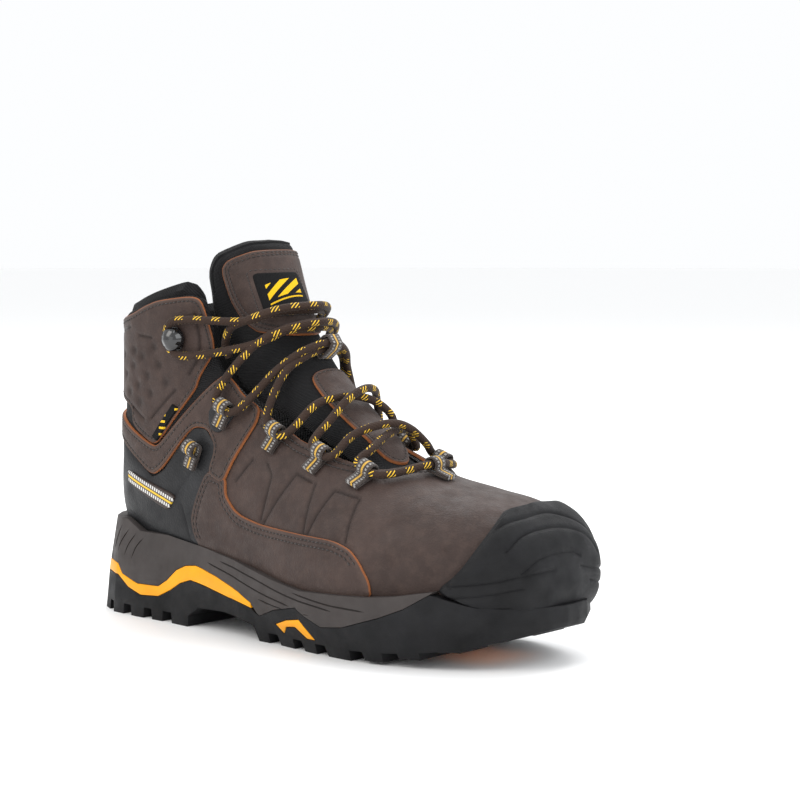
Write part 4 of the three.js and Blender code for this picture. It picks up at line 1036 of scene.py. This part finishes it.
TONGUE_SIDE = ((22, 92), (27, 112), (32, 145), (33.5, 168), (33.5, 184), (29, 193.5), (17, 198.5),
               (0, 200))
right_side = find(smooth_line(TONGUE_SIDE, 2), axes=(1, 2))
left_side = find(smooth_line([(-y, z) for y, z in TONGUE_SIDE], 2), axes=(1, 2))
foot = np.array([(0.3, v) for v in (0.12, 0.06, 0, -0.06, -0.12)])
tongue_outline = np.vstack((foot, right_side, left_side[::-1][1:]))
edge_seam = grooved(moved_in(tongue_outline, 4.2, part=lambda p: p[:, 2] > 172), 1.5, 0.9)
tongue = panel("padded_tongue", tongue_outline, lambda t, v: -tongue_pad(t), lambda t, v: tongue_pad(t),
               spacing=1.8, roll=2.6, height=tongue_lift, padded=True, grooves=edge_seam)
PATCH = ((-18, 150), (18, 150), (24, 158), (27, 168), (29, 184), (25, 190), (13, 193), (-13, 193),
         (-25, 190), (-29, 184), (-27, 168), (-24, 158))
RUNNER = ((-10, 94), (0, 92), (10, 94), (13, 100), (13.5, 126), (10, 131.5), (0, 133.5),
          (-10, 131.5), (-13.5, 126), (-13, 100))
LABEL = ((-15.5, 161), (9, 161), (6.5, 181), (-17, 181))
patch_outline, runner_outline = front_outline(PATCH, 0.2), front_outline(RUNNER, 0.25)
label_outline = front_outline(LABEL, 0.05)
LABEL_SEAM = ((-17.2, 159.4), (10.8, 159.4), (8.2, 182.8), (-18.9, 182.8))
patch_rows = moved_in(patch_outline, 2.2) + moved_in(patch_outline, 4.4)
runner_rows = moved_in(runner_outline, 2.2)
patch = panel("tongue_patch_leather", patch_outline, 0.2, 1.9, height=tongue_lift, spacing=1.5,
              grooves=grooved(patch_rows))
runner = panel("tongue_strip_leather", runner_outline, 0.2, 1.9, height=tongue_lift, spacing=1.5,
               grooves=grooved(runner_rows))
woven = panel("tongue_woven_label", label_outline, 2.0, 1.0, height=tongue_lift, spacing=1.2, roll=0.4)

emblem = Look("woven_tongue_label", (0.012, 0.012, 0.012), 0.65, Specular_IOR_Level=0.15)
label_flat = Cloth().flat(label_outline) / 1000
middle_u, middle_w = label_flat.mean(0)
_, emblem_u, emblem_w = emblem.across()
up_label = emblem.times(emblem.minus(emblem_u, float(middle_u)), 90.0)
over_label = emblem.times(emblem.minus(emblem_w, float(middle_w)), 90.0)
field = emblem.times(emblem.below(emblem.size(emblem.minus(up_label, 0.18)), 0.62),
                    emblem.below(emblem.size(over_label), 0.82))
slanted = emblem.fract(emblem.plus(emblem.times(up_label, 1.1), emblem.times(over_label, 1.1)))
stripes = emblem.times(field, emblem.math("GREATER_THAN", slanted, 0.46))
foot_line = emblem.below(emblem.size(emblem.plus(up_label, 0.72)), 0.06)
underline = emblem.times(foot_line, emblem.below(emblem.size(over_label), 0.82))
marks = emblem.math("MAXIMUM", stripes, underline)
emblem.color(emblem.mix(marks, (0.004, 0.004, 0.0045), (0.80, 0.48, 0.01)))
emblem.bump(emblem.sine(emblem.times(emblem_w, 9000.0)), 0.0002, 0.5)

for piece, looks, node, finish in (
        (tongue, (nylon.material, nylon.material), "tongue", "textile_black"),
        (patch, (brown_leather, cut_edge.material), "tongue_patch", "leather_brown"),
        (runner, (brown_leather, cut_edge.material), "tongue_strip", "leather_brown"),
        (woven, (emblem.material, emblem.material), "tongue_label", "label_woven")):
    for look in looks:
        piece.data.materials.append(look)
    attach(piece, "tongue")
    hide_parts(node)
for name, lines, base in (("tongue_patch_stitching", patch_rows, 1.9),
                          ("tongue_strip_stitching", runner_rows, 1.9),
                          ("tongue_label_stitching", [front_outline(LABEL_SEAM, 0.05)], 2.1)):
    sewn = stitches(name, lines, base, length=1.9, pitch=2.7, radius=0.26, height=tongue_lift)
    sewn.data.materials.append(thread_brown.material)
    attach(sewn, "tongue")

# --- Sole ----------------------------------------------------------------------------------------
# A taupe foam midsole over a black rubber outsole. A yellow wave is inlaid round the heel between
# them, a yellow chevron plug sits on each side of the ball, and an orange inlay shows in the tread.
# They are moulded, so every corner is eased.
def eased(piece, width):
    """Rounds a moulded piece's corners and smooths its long walls."""
    bevel = piece.modifiers.new("eased", "BEVEL")
    bevel.width = width
    bevel.segments = 2
    bevel.limit_method = "ANGLE"
    bevel.angle_limit = math.radians(34)
    bevel.harden_normals = False
    apply_all(piece)
    smooth_by_angle(piece, 38)


taupe = Look("taupe_foam", (0.060, 0.050, 0.043), 0.62, Specular_IOR_Level=0.25)
taupe.cloudy(taupe.noise(40, 5), 0.3, 0.7, (0.036, 0.0305, 0.029), (0.052, 0.044, 0.042))
taupe.patchy(150, 4, 0.5, 0.72)
taupe.bump(taupe.noise(1400, 3, 0.6), 0.00015, 0.5)
rubber = Look("black_rubber", (0.012, 0.012, 0.013), 0.6, Specular_IOR_Level=0.2)
rubber.cloudy(rubber.noise(30, 6, 0.6), 0.35, 0.7, (0.004, 0.004, 0.0045), (0.010, 0.010, 0.0115))
rubber.patchy(90, 5, 0.45, 0.72)
rubber.bump(rubber.noise(2600, 3, 0.7), 0.00035, 0.7)
yellow = Look("yellow_inlay", (0.86, 0.42, 0.02), 0.45, Specular_IOR_Level=0.25)
yellow.cloudy(yellow.noise(50, 5), 0.35, 0.75, (0.86, 0.36, 0.004), (0.76, 0.29, 0.004))
yellow.bump(yellow.noise(1500, 2), 0.0001, 0.4)
orange = Look("orange_inlay", (0.80, 0.26, 0.02), 0.5)
orange.cloudy(orange.noise(50, 5), 0.35, 0.75, (0.84, 0.28, 0.02), (0.70, 0.21, 0.015))
orange.bump(orange.noise(1500, 2), 0.0001, 0.4)

for node, name, width, look, finish in (
        ("midsole", "foam_midsole", 0.0009, taupe, "midsole_taupe"),
        ("heel_band", "heel_wave_band", 0.0006, yellow, "band_yellow"),
        ("outsole", "rubber_outsole", 0.0007, rubber, "rubber_black"),
        ("tread_inlay", "orange_tread_inlay", 0.0004, orange, "inlay_orange"),
        ("fore_plug_lateral", "chevron_plug_lateral", 0.0005, yellow, "band_yellow"),
        ("fore_plug_medial", "chevron_plug_medial", 0.0005, yellow, "band_yellow")):
    piece = copy_of(node, name)
    eased(piece, width)
    piece.data.materials.append(look.material)
    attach(piece, "root")
    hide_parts(node)

# --- Moulded lines -----------------------------------------------------------------------------------
# Fine lines moulded on the midsole's walls: slanting ones on the heel cup, and long ones that
# sweep forwards from the wave to the ball. They are thin strips in a dark taupe, which is painted
# shade of the moulded lines.
def turn_outwards(piece):
    """Turns the faces of a closed piece outwards."""
    shape = bmesh.new()
    shape.from_mesh(piece.data)
    bmesh.ops.recalc_face_normals(shape, faces=shape.faces)
    shape.to_mesh(piece.data)
    shape.free()


HEEL_LINES = [((x, 33 - k), (x + 3, 39 - k), (x + 9, 46.5 - 1.6 * k))
              for k, x in enumerate((19, 26, 33, 40))]
SWEEPS = [((103, 35), (126, 31), (150, 26.5), (176, 23)), ((114, 37), (142, 33), (172, 28), (206, 24.5)),
          ((150, 23), (168, 21), (190, 20.5)), ((178, 30), (200, 27.5), (226, 26.5))]
midsole_shape = bmesh.new()
midsole_shape.from_mesh(bpy.data.objects["foam_midsole"].data)
midsole_walls = bvhtree.BVHTree.FromBMesh(midsole_shape)
points, faces = [], []
for side in (-1, 1):
    for drawn_line in HEEL_LINES + SWEEPS:
        spots = []
        for x, z in smooth_line(drawn_line, 1.2):
            start = Vector(metres((x, side * 90, z)))
            hit, face_normal, _, _ = midsole_walls.ray_cast(start, Vector((0, -side, 0)), 0.09)
            if hit is not None and abs(face_normal.y) > 0.5:
                spots.append((np.array(hit), np.array(face_normal)))
        if len(spots) < 4:
            continue
        ways = np.gradient(np.array([spot for spot, _ in spots]), axis=0)
        base = len(points)
        for k, ((spot, face_normal), way) in enumerate(zip(spots, ways)):
            across = np.cross(way / np.linalg.norm(way), face_normal)
            slim = 0.0004 * min(1, (k + 0.6) / 4, (len(spots) - k - 0.4) / 4)
            for a, b in ((-1, 0), (0, 1), (1, 0), (0, -1)):
                points.append(spot + across * a * slim + face_normal * b * slim * 0.7)
        for k in range(len(spots) - 1):
            for j in range(4):
                a, b = base + 4 * k + j, base + 4 * k + (j + 1) % 4
                faces.append((a, b, b + 4, a + 4))
        faces.append([base + j for j in (3, 2, 1, 0)])
        faces.append([len(points) - 4 + j for j in range(4)])
midsole_shape.free()
moulded = mesh_piece("midsole_moulded_lines", points, faces)
turn_outwards(moulded)
# The lines' dark taupe is painted shade.
shadow = Look("taupe_shadow", (0.016, 0.013, 0.012), 0.8, Specular_IOR_Level=0.15)
shadow.bump(shadow.noise(1400, 3, 0.6), 0.0001, 0.4)
moulded.data.materials.append(shadow.material)
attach(moulded, "root")

# --- Toe bumper ------------------------------------------------------------------------------------
# A thick black rubber guard moulded over the toe. Its top edge sweeps up from the midsole, and
# curved grooves follow that edge.
BUMPER_TOP = ((256, 38.5), (261, 42), (267, 49), (271, 57), (272.5, 63), (272, 68), (270, 71))
BUMPER_FOOT = ((262, 35.0), (268, 32.4), (275, 29.9), (283, 29.2))
halves = []
for side in (-1, 1):
    top = find(smooth_line(BUMPER_TOP, 1.5), side)
    foot = find(even(BUMPER_FOOT, 1.5), side)
    halves.append(np.vstack((top[::-1], foot)))
ridge = np.array([[0.098, 0.0]])
nose = np.array([[0.0215, 1.0]])
bumper_outline = np.vstack((ridge, halves[0], nose, halves[1][::-1]))
bumper_flat = even(Cloth("disc").flat(bumper_outline), 1.5, closed=True)
for _ in range(14):
    beside = np.roll(bumper_flat, 1, axis=0) + np.roll(bumper_flat, -1, axis=0)
    bumper_flat = (beside + 2 * bumper_flat) / 4
bumper_outline = Cloth("disc").lifted(bumper_flat)
bumper_grooves = []
for line in (((-40, 43), (-33, 55), (-22, 64), (-7, 67), (8, 67.5), (24, 62), (36, 52), (41, 43)),
             ((-24, 55), (-16, 60), (-2, 62), (12, 61), (24, 57), (31, 50)),
             ((-20, 46), (-13, 51), (-3, 53), (8, 53), (14, 51)),
             ((-46, 40), (-38, 41), (-28, 43), (-16, 45.5), (-5, 46.5)),
             ((46, 38), (36, 42), (26, 44), (14, 46.5)),
             ((-42, 35), (-32, 37), (-20, 39.5)), ((42, 34), (32, 37), (22, 39.5))):
    bumper_grooves.append((find(smooth_line(line, 1.5), axes=(1, 2), to_t=0.13), 1.5, 0.8))
bumper = panel("rubber_toe_bumper", bumper_outline, 0.7, 4.6, cloth=Cloth("disc"), spacing=1.3, roll=1.6,
               grooves=bumper_grooves)
cover(bumper, rubber.material)
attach(bumper, "root")
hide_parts("toe_bumper")

# --- Hidden stiffeners ------------------------------------------------------------------------------
# Inside the boot, seen only through its mouth if at all: the steel cap and its edging, the heel
# counter, the shank and the fibre insole board.
steel = Look("formed_steel", (0.45, 0.46, 0.47), 0.32, Metallic=1.0)
steel.bump(steel.noise(500, 4), 0.0001, 0.4)
board = Look("fibre_board", (0.42, 0.31, 0.18), 0.85)
board.color(board.mix(board.noise(300, 5), (0.36, 0.26, 0.15), (0.50, 0.38, 0.24)))
for node, look in (("steel_toe_cap", steel), ("shank", steel), ("toe_cap_edging", rubber),
                   ("heel_counter", board), ("insole_board", board)):
    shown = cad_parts[node]
    shown.data.materials.clear()
    shown.data.materials.append(look.material)

# --- Lace loops -----------------------------------------------------------------------------------
# Brown webbing with a yellow centre line and silver dots. Each loop is a doubled tail, sewn to the
# leather, with an eye that the lace runs through. Two more stand on the middle line.
# Where each loop is fixed, from toe to ankle: its foot, the way to the throat, and the way up.
SEATS = {
    "lateral": (((201.12, -29.56, 86.29), (0.165, 0.89, 0.425), (0.33, -0.456, 0.827)),
                ((175.08, -32.87, 93.73), (0.253, 0.712, 0.655), (0.242, -0.702, 0.67)),
                ((145.04, -32.64, 103.16), (0.32, 0.463, 0.827), (0.119, -0.885, 0.449)),
                ((111.48, -35.42, 113.81), (0.35, 0.249, 0.903), (0.129, -0.968, 0.217)),
                ((92.04, -38.73, 92.2), (0.36, 0.084, 0.929), (0.016, -0.996, 0.084))),
    "medial": (((201.09, 23.49, 86.29), (0.184, -0.86, 0.475), (0.264, 0.509, 0.819)),
               ((175.1, 25.59, 93.72), (0.259, -0.698, 0.668), (0.298, 0.715, 0.632)),
               ((145.08, 29.82, 103.14), (0.323, -0.449, 0.833), (0.222, 0.892, 0.395)),
               ((111.64, 36.26, 113.73), (0.35, -0.243, 0.905), (0.17, 0.966, 0.194)),
               ((92.1, 39.72, 92.16), (0.36, -0.077, 0.93), (0.041, 0.997, 0.066)))}
THROAT_SEAT = ((217.76, -0.54, 86.64), (-0.946, -0.113, 0.304), (0.306, 0, 0.952))
TONGUE_SEAT = ((142.3, 0.67, 141.07), (-0.615, 0.052, 0.787), (0.788, 0, 0.616))

webbing = Look("brown_webbing", (0.05, 0.034, 0.026), 0.8, Sheen_Weight=0.2)
_, web_u, web_w = webbing.across()
from_middle = webbing.size(webbing.minus(web_u, 0.5))
picks = webbing.sine(webbing.times(web_w, 6.2832 * 1.1))
dots = webbing.times(webbing.below(webbing.size(webbing.minus(from_middle, 0.27)), 0.075),
                    webbing.below(webbing.fract(webbing.times(web_w, 0.62)), 0.55))
web_color = webbing.mix(dots, (0.034, 0.022, 0.017), (0.34, 0.33, 0.32))
webbing.color(webbing.mix(webbing.below(from_middle, 0.07), web_color, (0.70, 0.40, 0.03)))
webbing.bump(webbing.times(picks, webbing.sine(webbing.times(web_u, 38.0))), 0.0004, 0.8)


def ribbon(name, path, seat, width, thick):
    """Webbing that follows a path drawn across and up from its seat."""
    base, across, up = (np.array(v, float) for v in seat)
    across -= up * across.dot(up)
    across /= np.linalg.norm(across)
    side = np.cross(across, up)
    path = even(path, 0.6)
    way = np.gradient(path, axis=0)
    way /= np.linalg.norm(way, axis=1)[:, None]
    out = np.stack((-way[:, 1], way[:, 0]), 1)
    run_on = np.concatenate(([0], np.cumsum(np.linalg.norm(np.diff(path, axis=0), axis=1))))
    w, h = width / 2, thick / 2
    section = [(-w, -h * 0.4), (-w + h * 0.6, -h), (0, -h), (w - h * 0.6, -h), (w, -h * 0.4)]
    section += [(-a, -b) for a, b in section]
    points, uv, faces = [], [], []
    for k in range(len(path)):
        for a, b in section:
            p = path[k] + out[k] * b
            points.append(base + across * p[0] + up * p[1] + side * a)
            uv.append((a / width + 0.5, run_on[k]))
    n = len(section)
    for k in range(len(path) - 1):
        for j in range(n):
            a, b = k * n + j, k * n + (j + 1) % n
            faces.append((a, b, b + n, a + n))
    faces.append(list(range(n))[::-1])
    faces.append([len(points) - n + j for j in range(n)])
    piece = mesh_piece(name, metres(points), faces, uv)
    turn_outwards(piece)
    return piece


EYE = 3.4
loop_path = [(-11, 0.65), (-3, 0.65)]
loop_path += [(EYE * math.cos(a), 4.0 + EYE * math.sin(a)) for a in np.radians(np.arange(-90, 199, 12))]
loop_path += [(-4.6, 2.0), (-11, 1.75)]
tongue_loop_path = [(-3.2, 0.6), (3.2, 0.6), (4.0, 2), (4.0, 9.4), (2.6, 12.3), (-2.6, 12.3),
                    (-4.0, 9.4), (-4.0, 2), (-3.2, 0.65)]
WEBBING_WIDTH, WEBBING_THICK = 8.2, 1.15
made = [(f"lace_loop_{i + 1}_{end}", seat, loop_path, "root")
        for end in SEATS for i, seat in enumerate(SEATS[end])]
made += [("throat_loop", THROAT_SEAT, loop_path, "root"),
         ("tongue_loop", TONGUE_SEAT, tongue_loop_path, "tongue")]
for node, seat, path, body in made:
    piece = ribbon(f"webbing_{node}", path, seat, WEBBING_WIDTH, WEBBING_THICK)
    piece.data.materials.append(webbing.material)
    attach(piece, body)
    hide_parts(node)

# --- Lace hooks --------------------------------------------------------------------------------------
# Black lacquered metal hooks, riveted through the collar panels. The lace goes round under each.
lacquer = Look("black_lacquer", (0.006, 0.006, 0.007), 0.18, Coat_Weight=0.6, Coat_Roughness=0.08)
lacquer.roughness(lacquer.range(lacquer.noise(90, 4), 0.35, 0.7, 0.14, 0.30))
# Each hook's foot, and its ways to the throat, up and along the collar.
HOOK_SEATS = {
    "lateral": ((77.56, -39.47, 147.89), (0.957, 0.22, 0.191), (0.232, -0.971, -0.048),
                (-0.175, -0.09, 0.98)),
    "medial": ((77.53, 40.54, 147.87), (0.959, -0.206, 0.192), (0.22, 0.974, -0.052),
               (-0.176, 0.092, 0.98))}
DOME_RADIUS, CROWN = 6.2, 0.38
for end, seat in HOOK_SEATS.items():
    hook = copy_of(f"lace_hook_{end}", f"metal_hook_{end}")
    reskin(hook, 0.0004, 14)
    base, *axes = (np.array(v, float) for v in seat)
    local = (np.array([v.co[:] for v in hook.data.vertices]) * 1000 - SHIFT - base) @ np.array(axes).T
    low, high = local.min(0), local.max(0)
    centre, half = (low + high) / 2, (high - low) / 2
    spread = (local - centre)[:, (0, 2)]
    share = np.abs(spread / half[[0, 2]]).max(1)
    length = np.maximum(1e-9, np.linalg.norm(spread, axis=1))
    local[:, (0, 2)] = centre[[0, 2]] + spread * (share * DOME_RADIUS / length)[:, None]
    local[:, 1] = low[1] + (local[:, 1] - low[1]) * (1 - CROWN * share ** 2)
    for vertex, place in zip(hook.data.vertices, metres(base + local @ np.array(axes))):
        vertex.co = place
    hook.data.materials.append(lacquer.material)
    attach(hook, "root")
    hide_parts(f"lace_hook_{end}")
